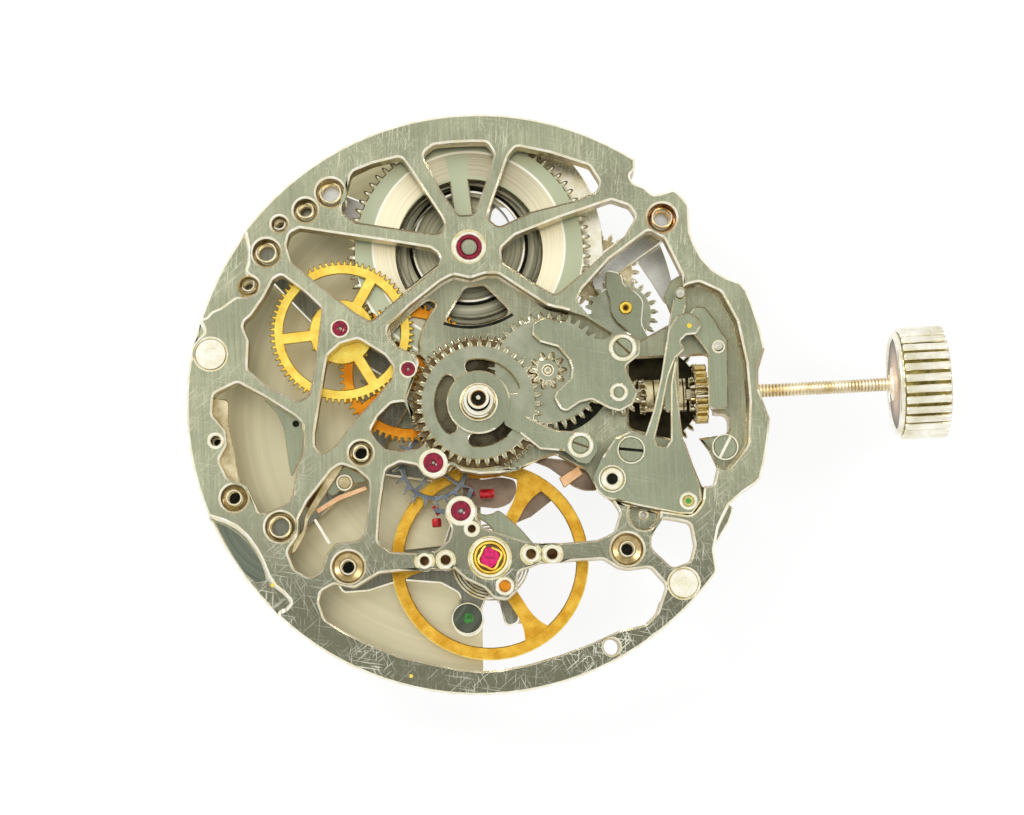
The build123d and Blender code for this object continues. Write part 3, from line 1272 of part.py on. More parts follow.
with BuildPart() as lever_pins:
    for spot in (setting_lever_pivot_px, yoke_pivot_px):
        post(at(spot), post_radius, cover_top, recess_floor)
lever_pins.part.label = "lever_pins"
export_step(lever_pins.part, "parts/lever_pins.step")

# Winding work, from the crown wheel to the ratchet
crown_wheel_top = stem_height - winding_pinion_tip - face_play
crown_wheel_thickness = 0.24
winding_a_phase = meshed_phase(0, crown_wheel_teeth, winding_a_teeth, heading(crown_wheel_at, winding_a_at))
winding_b_phase = meshed_phase(0, winding_a_leaves, winding_b_teeth, heading(winding_a_at, winding_b_at))
ratchet_phase = meshed_phase(winding_b_phase, winding_b_teeth, ratchet_teeth,
                             heading(winding_b_at, barrel_at))
transmission_phase = meshed_phase(ratchet_phase, ratchet_teeth, transmission_leaves,
                                  heading(barrel_at, transmission_at))
reversing_phase = meshed_phase(0, transmission_teeth, reversing_leaves,
                               heading(transmission_at, reversing_at))
reversing_gear_phase = meshed_phase(0, rotor_teeth, reversing_teeth, heading(centre, reversing_at))

with BuildPart() as crown_wheel:
    slab(toothed(crown_wheel_at, crown_wheel_teeth, crown_wheel_radius), crown_wheel_top,
         crown_wheel_top - crown_wheel_thickness)
    post(crown_wheel_at, stud_radius + post_play, crown_wheel_top + cut_overrun,
         crown_wheel_top - crown_wheel_thickness - cut_overrun, Mode.SUBTRACT)
crown_wheel.part.label = "crown_wheel"
export_step(crown_wheel.part, "parts/crown_wheel.step")

with BuildPart() as first_winding_wheel:
    slab(toothed(winding_a_at, winding_a_teeth, winding_a_radius, winding_a_phase), crown_wheel_top,
         crown_wheel_top - crown_wheel_thickness)
    post(winding_a_at, arbor_radius, crown_wheel_top + layer_gap, ratchet_bottom)
    slab(toothed(winding_a_at, winding_a_leaves, winding_a_leaf_radius), bridge_bottom - face_play,
         ratchet_bottom)
first_winding_wheel.part.label = "first_winding_wheel"
export_step(first_winding_wheel.part, "parts/first_winding_wheel.step")

with BuildPart() as second_winding_wheel:
    slab(toothed(winding_b_at, winding_b_teeth, winding_b_radius, winding_b_phase), ratchet_top,
         ratchet_bottom)
    post(winding_b_at, stud_radius + post_play, ratchet_top + cut_overrun, ratchet_bottom - cut_overrun,
         Mode.SUBTRACT)
second_winding_wheel.part.label = "second_winding_wheel"
export_step(second_winding_wheel.part, "parts/second_winding_wheel.step")

with BuildPart() as ratchet_wheel:
    slab(toothed(barrel_at, ratchet_teeth, ratchet_radius, ratchet_phase), ratchet_top, ratchet_bottom)
    post(barrel_at, spring_arbor_radius, ratchet_top + cut_overrun, ratchet_bottom - cut_overrun,
         Mode.SUBTRACT)
    with BuildSketch(Plane.XY.offset(ratchet_top + cut_overrun)) as ratchet_holes:
        with Locations(barrel_at):
            with PolarLocations(0.55 * ratchet_radius, 3, start_angle=sight_heading):
                Circle(0.24 * ratchet_radius)
    extrude(ratchet_holes.sketch, amount=-ratchet_thickness - 2 * cut_overrun, mode=Mode.SUBTRACT)
ratchet_wheel.part.label = "ratchet_wheel"
export_step(ratchet_wheel.part, "parts/ratchet_wheel.step")

with BuildPart() as ratchet_screw:
    post(barrel_at, 1.5 * spring_arbor_radius, ratchet_bottom, transmission_bottom)
    with Locations((*barrel_at, transmission_bottom + screw_slot_depth / 2)):
        Box(4 * spring_arbor_radius, screw_slot_width, screw_slot_depth, mode=Mode.SUBTRACT)
ratchet_screw.part.label = "ratchet_screw"
export_step(ratchet_screw.part, "parts/ratchet_screw.step")

# Click: a pawl on the barrel bridge that lets the ratchet turn one way
click_px = (560, 190)
click_at = at(click_px)
click_heading = heading(click_at, barrel_at)

with BuildPart() as click:
    click_tip = polar(barrel_at, ratchet_radius * (1 + 3.2 / ratchet_teeth), click_heading + 180)
    with BuildSketch(Plane.XY.offset(ratchet_top)) as click_face:
        with Locations(click_at):
            Circle(2 * stud_radius)
        add(bar(click_at, click_tip, stud_radius))
    extrude(click_face.sketch, amount=-ratchet_thickness)
    post(click_at, stud_radius + post_play, ratchet_top + cut_overrun, ratchet_bottom - cut_overrun,
         Mode.SUBTRACT)
click.part.label = "click"
export_step(click.part, "parts/click.step")

# Automatic work: rotor, its gear, the reversing wheel and the transmission wheel
rotor_outer, rotor_rim_inner, rotor_hub_radius = 13.1, 11.1, 2.6
rotor_start_deg, rotor_sweep_deg = 92, 176
rotor_bearing_bore = rotor_post_radius + post_play
rotor_ring_radius = 1.35


def sector(inner_radius, outer_radius, start_deg, sweep_deg):
    """The face of a ring sector round the centre axis."""
    with BuildSketch() as face:
        with BuildLine():
            middle = start_deg + sweep_deg / 2
            end = start_deg + sweep_deg
            outer = ThreePointArc(polar(centre, outer_radius, start_deg),
                                  polar(centre, outer_radius, middle),
                                  polar(centre, outer_radius, end))
            inner = ThreePointArc(polar(centre, inner_radius, start_deg),
                                  polar(centre, inner_radius, middle),
                                  polar(centre, inner_radius, end))
            Line(outer @ 0, inner @ 0)
            Line(outer @ 1, inner @ 1)
        make_face()
    return face.sketch


with BuildPart() as rotor_weight:
    slab(sector(rotor_hub_radius - rotor_thickness, rotor_outer, rotor_start_deg, rotor_sweep_deg),
         rotor_top,
         rotor_bottom)
    slab(sector(rotor_rim_inner, rotor_outer, rotor_start_deg, rotor_sweep_deg), rotor_top,
         rotor_top - rotor_rim_height)
    with BuildSketch(Plane.XY.offset(rotor_top)) as rotor_hub:
        Circle(rotor_hub_radius)
        Circle(rotor_ring_radius, mode=Mode.SUBTRACT)
    extrude(rotor_hub.sketch, amount=-rotor_thickness)
    with BuildSketch(Plane.XY.offset(rotor_top)) as rotor_cuts:
        Circle(rotor_ring_radius)
    extrude(rotor_cuts.sketch, amount=-rotor_thickness, mode=Mode.SUBTRACT)
rotor_weight.part.label = "rotor_weight"
export_step(rotor_weight.part, "parts/rotor_weight.step")

with BuildPart() as rotor_gear:
    post(centre, rotor_ring_radius, rotor_gear_bottom, rotor_bottom)
    slab(toothed(centre, rotor_teeth, rotor_gear_radius), rotor_gear_top, rotor_gear_bottom)
    post(centre, rotor_bearing_bore, rotor_gear_top + cut_overrun, rotor_bottom - cut_overrun, Mode.SUBTRACT)
rotor_gear.part.label = "rotor_gear"
export_step(rotor_gear.part, "parts/rotor_gear.step")

with BuildPart() as rotor_post:
    post(centre, rotor_post_radius, bridge_bottom, rotor_bottom - face_play)
    post(centre, 1.6 * rotor_post_radius, bridge_bottom, bridge_bottom - 0.2 * bridge_thickness)
rotor_post.part.label = "rotor_post"
export_step(rotor_post.part, "parts/rotor_post.step")

with BuildPart() as rotor_screw:
    post(centre, 1.5 * rotor_post_radius, rotor_bottom - face_play,
         rotor_bottom - face_play - screw_head_height)
    with Locations((0, 0, rotor_bottom - face_play - screw_head_height + screw_slot_depth / 2)):
        Box(4 * rotor_post_radius, 2 * screw_slot_width, screw_slot_depth, mode=Mode.SUBTRACT)
rotor_screw.part.label = "rotor_screw"
export_step(rotor_screw.part, "parts/rotor_screw.step")

with BuildPart() as transmission_wheel:
    slab(toothed(transmission_at, transmission_leaves, transmission_leaf_radius, transmission_phase),
         ratchet_top,
         transmission_top)
    slab(toothed(transmission_at, transmission_teeth, transmission_radius), transmission_top,
         transmission_bottom)
    post(transmission_at, stud_radius + post_play, ratchet_top + cut_overrun,
         transmission_bottom - cut_overrun,
         Mode.SUBTRACT)
transmission_wheel.part.label = "transmission_wheel"
export_step(transmission_wheel.part, "parts/transmission_wheel.step")

with BuildPart() as reversing_pinion:
    slab(toothed(reversing_at, reversing_leaves, reversing_leaf_radius, reversing_phase), transmission_top,
         transmission_bottom - 0.5 * layer_gap)
    post(reversing_at, stud_radius + post_play, transmission_top + cut_overrun, rotor_gear_bottom,
         Mode.SUBTRACT)
reversing_pinion.part.label = "reversing_pinion"
export_step(reversing_pinion.part, "parts/reversing_pinion.step")

with BuildPart() as reversing_wheel:
    slab(toothed(reversing_at, reversing_teeth, reversing_radius, reversing_gear_phase), rotor_gear_top,
         rotor_gear_bottom)
    post(reversing_at, stud_radius + post_play, rotor_gear_top + cut_overrun,
         rotor_gear_bottom - cut_overrun,
         Mode.SUBTRACT)
reversing_wheel.part.label = "reversing_wheel"
export_step(reversing_wheel.part, "parts/reversing_wheel.step")
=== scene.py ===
"""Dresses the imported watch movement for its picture: metals, jewels, springs and bright edges."""

import json
from math import cos, pi, radians, sin

import bpy
import bmesh
from mathutils import Matrix, Vector

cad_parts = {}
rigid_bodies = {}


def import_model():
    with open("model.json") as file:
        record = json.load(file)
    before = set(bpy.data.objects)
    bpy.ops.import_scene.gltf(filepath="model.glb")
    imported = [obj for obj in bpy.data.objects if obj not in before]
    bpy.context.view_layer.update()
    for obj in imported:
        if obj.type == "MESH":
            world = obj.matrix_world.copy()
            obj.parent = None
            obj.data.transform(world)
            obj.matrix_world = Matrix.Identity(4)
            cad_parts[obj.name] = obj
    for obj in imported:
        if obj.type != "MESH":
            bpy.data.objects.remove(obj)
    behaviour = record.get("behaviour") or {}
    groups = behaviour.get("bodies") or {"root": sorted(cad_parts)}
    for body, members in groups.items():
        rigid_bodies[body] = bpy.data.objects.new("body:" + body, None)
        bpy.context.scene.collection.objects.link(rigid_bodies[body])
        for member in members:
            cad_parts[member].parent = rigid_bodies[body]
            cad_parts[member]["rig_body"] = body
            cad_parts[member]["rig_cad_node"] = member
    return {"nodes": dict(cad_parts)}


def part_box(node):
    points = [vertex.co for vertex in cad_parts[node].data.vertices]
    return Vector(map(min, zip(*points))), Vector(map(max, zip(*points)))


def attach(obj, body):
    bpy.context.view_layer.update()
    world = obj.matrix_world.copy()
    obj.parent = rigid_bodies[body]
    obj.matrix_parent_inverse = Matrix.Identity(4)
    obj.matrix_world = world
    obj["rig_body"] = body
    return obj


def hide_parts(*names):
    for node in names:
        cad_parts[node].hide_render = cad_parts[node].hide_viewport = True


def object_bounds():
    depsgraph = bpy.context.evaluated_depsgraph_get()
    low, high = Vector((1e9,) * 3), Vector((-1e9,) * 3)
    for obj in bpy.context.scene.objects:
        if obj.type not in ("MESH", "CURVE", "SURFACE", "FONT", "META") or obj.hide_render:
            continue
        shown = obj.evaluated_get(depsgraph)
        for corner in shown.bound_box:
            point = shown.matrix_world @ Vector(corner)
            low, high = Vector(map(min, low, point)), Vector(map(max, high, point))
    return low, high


bl_info = {
    "name": "Watch movement",
    "version": (1, 0, 0),
    "blender": (4, 5, 0),
    "location": "View3D > Sidebar > Movement",
    "description": "Builds the looks of a cut-out self-winding watch movement on its packed parts",
    "category": "Object",
}

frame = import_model()
cad_low, cad_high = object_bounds()

MM = 0.001
PLATE_RADIUS = 13.7 * MM
PIXEL = PLATE_RADIUS / 292
TURN = radians(3)
CAMERA_HEIGHT = 140 * MM
CAMERA_FOOT = 14 * MM
SENSOR_MM = 36
PICTURE_WIDTH_PX = 1024
QUARTER = pi / 2

# Places in the picture: the hands' axis, the camera's aim, drum, arbor, balance, its pin, stud and its stone
CENTRE_PX = (478.5, 401.8)
AIM_PX = (512, 407.5)
DRUM_PX = (468.5, 245)
ARBOR_PX = (468.8, 245.6)
BALANCE_PX = (490, 557.5)
PIN_PX = (505, 586)
STUD_PX = (468, 618)
STUD_STONE_PX = (468.5, 618)


def shade(red, green, blue):
    """A colour as a screen shows it, turned into the linear values that Blender keeps."""
    shares = (red / 255, green / 255, blue / 255)
    return tuple(((share + 0.055) / 1.055) ** 2.4 if share > 0.04 else share / 12.92 for share in shares)


def at(spot, z=0.0):
    """A pixel of the picture as a place on the movement, at a height that may lie below the dial's seat."""
    right = (spot[0] - CENTRE_PX[0]) * PIXEL
    up = (CENTRE_PX[1] - spot[1]) * PIXEL
    x = right * cos(TURN) + up * sin(TURN)
    y = up * cos(TURN) - right * sin(TURN)
    lower = -z / CAMERA_HEIGHT
    return Vector((x * (1 + lower), y + (y + CAMERA_FOOT) * lower, z))


# Settings that a user would change

def measure(name, description, default, high, low=0):
    """A length in millimetres."""
    return bpy.props.FloatProperty(name=name, description=description, default=default * MM, min=low * MM,
                                   max=high * MM, unit="LENGTH", precision=5)


def winding(name, description, default):
    """A number of turns."""
    return bpy.props.IntProperty(name=name, description=description, default=default, min=3, max=16)


def tint(name, description, *tone):
    """A colour as a screen shows it."""
    return bpy.props.FloatVectorProperty(name=name, description=description, subtype="COLOR",
                                         default=shade(*tone), min=0, max=1)


class MovementSizes(bpy.types.PropertyGroup):
    plate_edge: measure("Plate edge", "Width of the polished edge round the plate's openings", 0.1, 0.4)
    cover_edge: measure("Cover edge", "Width of the polished edge on the covers and bridges", 0.08, 0.2)
    wheel_edge: measure("Wheel edge", "Width of the bright edge round wheels and their teeth", 0.06, 0.1)
    hairspring_blade: measure("Hairspring blade", "Thickness of the hairspring's blade", 0.085, 0.2, 0.01)
    hairspring_turns: winding("Hairspring turns", "How many times the hairspring goes round the staff", 9)
    mainspring_blade: measure("Mainspring blade", "Thickness of the mainspring's blade", 0.05, 0.3, 0.03)
    mainspring_turns: winding("Mainspring turns", "How many turns lie between arbor and drum", 11)


class MovementColours(bpy.types.PropertyGroup):
    plate: tint("Plate", "Grained top of the main plate", 164, 166, 138)
    # The darker plate tone also paints the shade at the plate's lower end
    worn: tint("Plate, darker", "Darker parts of the plate's grain", 110, 110, 90)
    edge: tint("Edge", "Polished edges of plate and covers", 255, 252, 238)
    steel: tint("Steel", "Steel wheels and levers", 173, 175, 150)
    gilt: tint("Gilt", "Gilt wheels, rings and pins", 255, 232, 112)
    ruby: tint("Ruby", "Jewels", 138, 4, 42)
    rotor: tint("Rotor", "Turned face of the rotor", 232, 223, 186)


def sizes():
    return bpy.context.scene.movement_sizes


def colours():
    return bpy.context.scene.movement_colours


# Shader nodes, and the node groups for effects that several finishes share

def new_group(name, inputs, outputs):
    """An empty shader group with its sockets: inputs as (name, kind, default), outputs as names of values."""
    group = bpy.data.node_groups.new(name, "ShaderNodeTree")
    for label, kind, value in inputs:
        socket = group.interface.new_socket(label, in_out="INPUT", socket_type="NodeSocket" + kind)
        if value is not None:
            socket.default_value = value
    for label in outputs:
        group.interface.new_socket(label, in_out="OUTPUT", socket_type="NodeSocketFloat")
    return group, group.nodes.new("NodeGroupInput").outputs, group.nodes.new("NodeGroupOutput").inputs


def node(tree, kind, **values):
    """A node with its settings: plain names are its properties, and the dict 'put' holds its inputs."""
    made = tree.nodes.new("ShaderNode" + kind)
    for label, value in values.pop("put", {}).items():
        made.inputs[label].default_value = value
    for label, value in values.items():
        setattr(made, label, value)
    return made


def fill(tree, socket, value):
    """Puts a value in a socket, by a link where the value is itself a socket."""
    if hasattr(value, "node"):
        tree.links.new(value, socket)
    elif value is not None:
        socket.default_value = value


def maths(tree, operation, first, second=None, clamp=False):
    """A Math node between two values, each a socket or a number; returns its result."""
    made = node(tree, "Math", operation=operation, use_clamp=clamp)
    fill(tree, made.inputs[0], first)
    fill(tree, made.inputs[1], second)
    return made.outputs[0]


def vector_maths(tree, operation, first, second=None):
    """A Vector Math node between two values, each a socket or a vector; returns its result."""
    made = node(tree, "VectorMath", operation=operation)
    fill(tree, made.inputs[0], first)
    fill(tree, made.inputs["Scale" if operation == "SCALE" else 1], second)
    return made.outputs["Value" if operation == "LENGTH" else 0]


def parts_of(tree, vector):
    """The X, Y and Z of a vector."""
    made = node(tree, "SeparateXYZ")
    tree.links.new(vector, made.inputs[0])
    return made.outputs


def between(tree, value, low, high, out_low=0.0, out_high=1.0):
    """Maps a value from one range to another, clamped."""
    made = node(tree, "MapRange", put={
        "From Min": low, "From Max": high, "To Min": out_low, "To Max": out_high})
    tree.links.new(value, made.inputs["Value"])
    return made.outputs["Result"]


def noise(tree, vector, scale, detail=2.0, roughness=0.5):
    """Noise over a vector in millimetres."""
    made = node(tree, "TexNoise", put={"Scale": scale, "Detail": detail, "Roughness": roughness})
    tree.links.new(vector, made.inputs["Vector"])
    return made.outputs["Fac"]


def stretched(tree, vector, turn_deg, along, fineness):
    """A vector turned about Z, drawn out and scaled, so that noise over it becomes strokes."""
    turned_vector = node(tree, "VectorRotate", rotation_type="Z_AXIS", put={"Angle": radians(turn_deg)})
    tree.links.new(vector, turned_vector.inputs["Vector"])
    drawn_out = vector_maths(tree, "MULTIPLY", turned_vector.outputs[0], (1 / along, 1, 1))
    return vector_maths(tree, "SCALE", drawn_out, fineness)


def mixed(tree, factor, first, second):
    """A colour between two colours; each may be a socket or a colour."""
    made = node(tree, "Mix", data_type="RGBA")
    tree.links.new(factor, made.inputs["Factor"])
    colour_a, colour_b, colour_result = 6, 7, 2
    for label, value in ((colour_a, first), (colour_b, second)):
        fill(tree, made.inputs[label], value if hasattr(value, "node") else (*value[:3], 1))
    return made.outputs[colour_result]


def make_scratches():
    """Fine straight strokes in several directions, thicker where the patches of wear lie."""
    group, given, result = new_group(
        "hand scratches", [("Vector", "Vector", None), ("Fineness", "Float", 6.0), ("Amount", "Float", 0.5)],
        ["Mask", "Height"])
    total = None
    for turn_deg, reach in ((12, 34), (-38, 26), (64, 30), (97, 22)):
        strokes = stretched(group, given["Vector"], turn_deg, reach, given["Fineness"])
        line = between(group, noise(group, strokes, 1.0, 3.0, 0.6), 0.60, 0.66)
        total = line if total is None else maths(group, "MAXIMUM", total, line)
    patches = between(group, noise(group, given["Vector"], 0.22, 2.0), 0.38, 0.62, 0.25, 1.0)
    worn = maths(group, "MULTIPLY", maths(group, "MULTIPLY", total, patches), given["Amount"], True)
    group.links.new(worn, result["Mask"])
    group.links.new(maths(group, "MULTIPLY", worn, -1.0), result["Height"])
    return group


def make_grain():
    """Straight brushed grain in one direction, with a slow change of tone under it."""
    group, given, result = new_group(
        "straight grain", [("Vector", "Vector", None), ("Fineness", "Float", 9.0)], ["Tone", "Height"])
    lines = noise(group, stretched(group, given["Vector"], 90, 40, given["Fineness"]), 1.0, 4.0, 0.7)
    slow = noise(group, given["Vector"], 0.35, 3.0)
    tone = maths(group, "ADD", maths(group, "MULTIPLY", lines, 0.55), maths(group, "MULTIPLY", slow, 0.45))
    group.links.new(tone, result["Tone"])
    group.links.new(lines, result["Height"])
    return group


def make_turning():
    """Fine rings about an axis, as a lathe or a circular brush leaves them, and a painted sheen that lightens
    and darkens the tone in four fans round the axis.
    """
    group, given, result = new_group(
        "turned rings",
        [("Vector", "Vector", None), ("Centre", "Vector", (0, 0, 0)), ("Fineness", "Float", 7.0)],
        ["Tone", "Height", "Away"])
    offset = vector_maths(group, "SUBTRACT", given["Vector"], given["Centre"])
    flat = vector_maths(group, "MULTIPLY", offset, (1, 1, 0))
    away = vector_maths(group, "LENGTH", flat)
    rings = node(group, "TexNoise", noise_dimensions="1D",
                 put={"Scale": 1.0, "Detail": 4.0, "Roughness": 0.75})
    group.links.new(maths(group, "MULTIPLY", away, given["Fineness"]), rings.inputs["W"])
    parts = parts_of(group, flat)
    angle = maths(group, "ARCTAN2", parts["Y"], parts["X"])
    # Painted sheen: the tone rises and falls with twice the angle round the axis
    painted_fans = maths(group, "MULTIPLY", maths(group, "SINE", maths(group, "MULTIPLY", angle, 2.0)), 0.12)
    group.links.new(maths(group, "ADD", rings.outputs["Fac"], painted_fans), result["Tone"])
    group.links.new(rings.outputs["Fac"], result["Height"])
    group.links.new(away, result["Away"])
    return group


effects = {}


def placed_effect(tree, maker, vector, **put):
    """One use of a shared group in a material, with its own values; the group is made at its first use."""
    if maker not in effects:
        effects[maker] = maker()
    made = tree.nodes.new("ShaderNodeGroup")
    made.node_tree = effects[maker]
    tree.links.new(vector, made.inputs["Vector"])
    for label, value in put.items():
        made.inputs[label].default_value = value
    return made.outputs


# Finishes

def metal(name, colour, roughness, metallic=1.0):
    """A new metal with its tree, its place vector in millimetres and its shader's inputs."""
    made = bpy.data.materials.new(name)
    made.use_nodes = True
    tree = made.node_tree
    shader = tree.nodes["Principled BSDF"].inputs
    shader["Base Color"].default_value = (*colour[:3], 1)
    shader["Roughness"].default_value = roughness
    shader["Metallic"].default_value = metallic
    place = node(tree, "TexCoord")
    scaled = node(tree, "Mapping", put={"Scale": (1 / MM, 1 / MM, 1 / MM)})
    tree.links.new(place.outputs["Object"], scaled.inputs["Vector"])
    return made, tree, scaled.outputs["Vector"], shader


def bumped(tree, shader, height, depth):
    """Lets a height shape the shader's normal; depth in millimetres."""
    bump = node(tree, "Bump", put={"Distance": depth * MM, "Strength": 1.0})
    tree.links.new(height, bump.inputs["Height"])
    tree.links.new(bump.outputs["Normal"], shader["Normal"])


def grained_metal(name, light, dark, roughness=0.42, depth=0.004, fineness=9.0, scratch_amount=0.8,
                  painted_shade_end=None):
    """Brushed and scratched metal with a painted shade: below the higher of the two y values given for the
    lower end, in mm, the dark tone takes over and the scratches fade.
    """
    made, tree, vector, shader = metal(name, light, roughness)
    grain = placed_effect(tree, make_grain, vector, Fineness=fineness)
    marks = placed_effect(tree, make_scratches, vector, Fineness=15.0, Amount=scratch_amount)
    tone = between(tree, grain["Tone"], 0.38, 0.62)
    mark = marks["Mask"]
    # Painted shade: towards the plate's lower end the colour goes over to the dark tone and the scratches
    # fade
    if painted_shade_end:
        across = between(tree, parts_of(tree, vector)["Y"], *painted_shade_end)
        tone = maths(tree, "MULTIPLY", maths(tree, "ADD", maths(tree, "MULTIPLY", tone, 0.5), 0.5), across)
        left = maths(tree, "SUBTRACT", 1.0, maths(tree, "MULTIPLY", across, 0.75))
        mark = maths(tree, "MULTIPLY", mark, left)
    worn = mixed(tree, mark, mixed(tree, tone, dark, light), shade(232, 231, 214))
    tree.links.new(worn, shader["Base Color"])
    gloss = between(tree, grain["Tone"], 0.3, 0.7, roughness - 0.08, roughness + 0.1)
    tree.links.new(gloss, shader["Roughness"])
    bumped(tree, shader, maths(tree, "ADD", grain["Height"], marks["Height"]), depth)
    return made


def turned_metal(name, light, dark, centre, fineness, depth=0.003):
    """Metal with turned rings about an axis at centre, their painted sheen included in its colour."""
    made, tree, vector, shader = metal(name, light, 0.35)
    rings = placed_effect(tree, make_turning, vector, Centre=tuple(c / MM for c in centre), Fineness=fineness)
    tree.links.new(mixed(tree, between(tree, rings["Tone"], 0.3, 0.7), dark, light), shader["Base Color"])
    bumped(tree, shader, rings["Height"], depth)
    return made


def drum_metal(name, centre, flat, brushed, seam):
    """The drum's lid: a flat band outside, a brushed golden band inside it with a painted sheen in two fans
    round the axis, and bright seams between them.
    """
    made, tree, vector, shader = metal(name, flat, 0.34)
    rings = placed_effect(tree, make_turning, vector, Centre=tuple(c / MM for c in centre), Fineness=9.0)
    away_px = maths(tree, "DIVIDE", rings["Away"], PIXEL / MM)
    parts = parts_of(tree, vector)
    east = maths(tree, "SUBTRACT", parts["X"], centre[0] / MM)
    north = maths(tree, "SUBTRACT", parts["Y"], centre[1] / MM)
    angle = maths(tree, "ARCTAN2", north, east)
    # Painted sheen: the golden band goes from half its tone to full tone in two fans round the drum's axis
    fan = maths(tree, "COSINE", maths(tree, "MULTIPLY", maths(tree, "SUBTRACT", angle, -0.35), 2.0))
    fine = maths(tree, "MULTIPLY", rings["Tone"], 0.6)
    painted_sheen = between(tree, maths(tree, "ADD", maths(tree, "MULTIPLY", fan, 0.35), fine), -0.05, 0.6)
    golden = mixed(tree, painted_sheen, tuple(0.5 * c for c in brushed), brushed)
    off_spoke = maths(tree, "ABSOLUTE", maths(tree, "SUBTRACT", angle, radians(95)))
    spoke = between(tree, off_spoke, 0.12, 0.13, 1.0, 0.0)
    outside = between(tree, away_px, 96.0, 97.5)
    inside = between(tree, away_px, 72.0, 73.5, 1.0, 0.0)
    plain = maths(tree, "MAXIMUM", outside, inside)
    base = mixed(tree, maths(tree, "MAXIMUM", plain, spoke), golden, flat)
    for seam_px in (97.5, 117.5):
        gap = maths(tree, "ABSOLUTE", maths(tree, "SUBTRACT", away_px, seam_px))
        base = mixed(tree, between(tree, gap, 0.8, 1.6, 1.0, 0.0), base, seam)
    tree.links.new(base, shader["Base Color"])
    bumped(tree, shader, rings["Height"], 0.002)
    return made


def satin_metal(name, light, dark, roughness=0.3, spots=1.6, depth=0.002):
    """Satin metal with soft clouds of tone and very fine pits."""
    made, tree, vector, shader = metal(name, light, roughness)
    clouds = noise(tree, vector, spots, 4.0, 0.6)
    tree.links.new(mixed(tree, between(tree, clouds, 0.35, 0.65), dark, light), shader["Base Color"])
    pits = noise(tree, vector, 26.0, 2.0)
    tree.links.new(between(tree, pits, 0.3, 0.7, roughness - 0.06, roughness + 0.1), shader["Roughness"])
    bumped(tree, shader, pits, depth)
    return made


def bowl_metal(name, heart, rim, axis_z, reach):
    """Satin metal with a painted shade: it darkens from the stem's axis out to a reach in millimetres, as in
    a hollow.
    """
    made, tree, vector, shader = metal(name, heart, 0.4, 0.5)
    parts = parts_of(tree, vector)
    up = maths(tree, "SUBTRACT", parts["Z"], axis_z)
    across = maths(tree, "MULTIPLY", parts["Y"], parts["Y"])
    away = maths(tree, "SQRT", maths(tree, "ADD", maths(tree, "MULTIPLY", up, up), across))
    # Painted shade: light near the stem's axis, dark at the reach
    tree.links.new(mixed(tree, between(tree, away, 0.35 * reach, reach), heart, rim), shader["Base Color"])
    return made


def jewel_stone(name, colour, deep):
    """Clear coloured stone with a polished coat and a darker heart."""
    made, tree, vector, shader = metal(name, colour, 0.12, 0.0)
    clouds = noise(tree, vector, 5.0, 2.0)
    tree.links.new(mixed(tree, between(tree, clouds, 0.35, 0.65), deep, colour), shader["Base Color"])
    for label, value in (("Coat Weight", 0.15), ("Specular IOR Level", 0.35), ("Coat Roughness", 0.04)):
        shader[label].default_value = value
    return made


# Satin finishes: material, light and dark tone, then roughness, fineness of the clouds and depth of the pits
# where they differ from the usual ones
SATIN = {
    "wall": ("cut wall", (212, 192, 142), (158, 138, 94), 0.32, 2.4),
    "deep wall": ("golden bore", (214, 160, 78), (140, 84, 30), 0.25, 2.4),
    "gilt edge": ("gilt edge", (255, 232, 140), (236, 200, 96), 0.25, 1.6, 0.001),
    "gilt wall": ("gilt wall", (196, 140, 44), (140, 90, 24)),
    # A paler copy of the bridge metal: painted light that lifts the barrel bridge and the pale bar out of
    # their shade
    "bridge painted light": ("bridge painted light", (222, 220, 212), (190, 188, 182), 0.3, 0.5),
    "balance gold": ("balance gold", (244, 196, 76), (214, 156, 46), 0.28),
    "brown bridge": ("brown bridge", (150, 130, 110), (96, 82, 68), 0.3, 0.5),
    "bright": ("bright steel", (228, 226, 208), (176, 174, 152), 0.18),
    "blue steel": ("blued grey steel", (132, 140, 146), (98, 106, 112), 0.24),
    "deep gilt": ("deep gilt", (232, 156, 46), (200, 116, 26)),
    "brass": ("pale brass", (226, 206, 140), (182, 154, 86), 0.25),
    # Near-black painted shade for the bottoms of holes, bores, slots and recesses
    "dark": ("bore painted shade", (46, 46, 38), (24, 24, 20), 0.5),
    "dark spring": ("wound blade", (140, 136, 112), (92, 88, 70)),
    "brown": ("brown bore", (96, 70, 42), (50, 34, 20), 0.4),
    "brown steel": ("brown steel", (128, 110, 78), (84, 70, 48)),
    "pocket": ("pocket floor", (196, 196, 168), (150, 148, 122)),
    "ledge": ("cut ledge", (236, 222, 182), (178, 162, 118), 0.3, 1.2),
    "peach": ("peach gold", (246, 204, 158), (226, 172, 122)),
    "knurl": ("knurled steel", (226, 214, 172), (190, 174, 128), 0.3, 0.7),
    "spring": ("spring blade", (244, 236, 206), (206, 188, 132), 0.2),
    "crown hub": ("crown hub", (255, 251, 240), (248, 234, 212), 0.5),
    # A darker copy of the crown metal, painted shade in the gaps between the crown's ribs
    "crown gaps painted shade": ("crown gaps painted shade", (158, 142, 78), (92, 82, 40), 0.35),
    "stem": ("stem metal", (238, 228, 200), (204, 184, 138), 0.4),
    "crown": ("crown metal", (255, 252, 240), (222, 216, 188), 0.2, 0.7),
    "shaded steel": ("shaded steel", (120, 114, 90), (44, 38, 26), 0.3, 0.55),
    # Dark copy of the steel, painted shade for the crown wheel deep in the keyless well
    "well": ("well painted shade", (70, 64, 46), (26, 24, 18), 0.35, 0.9),
}

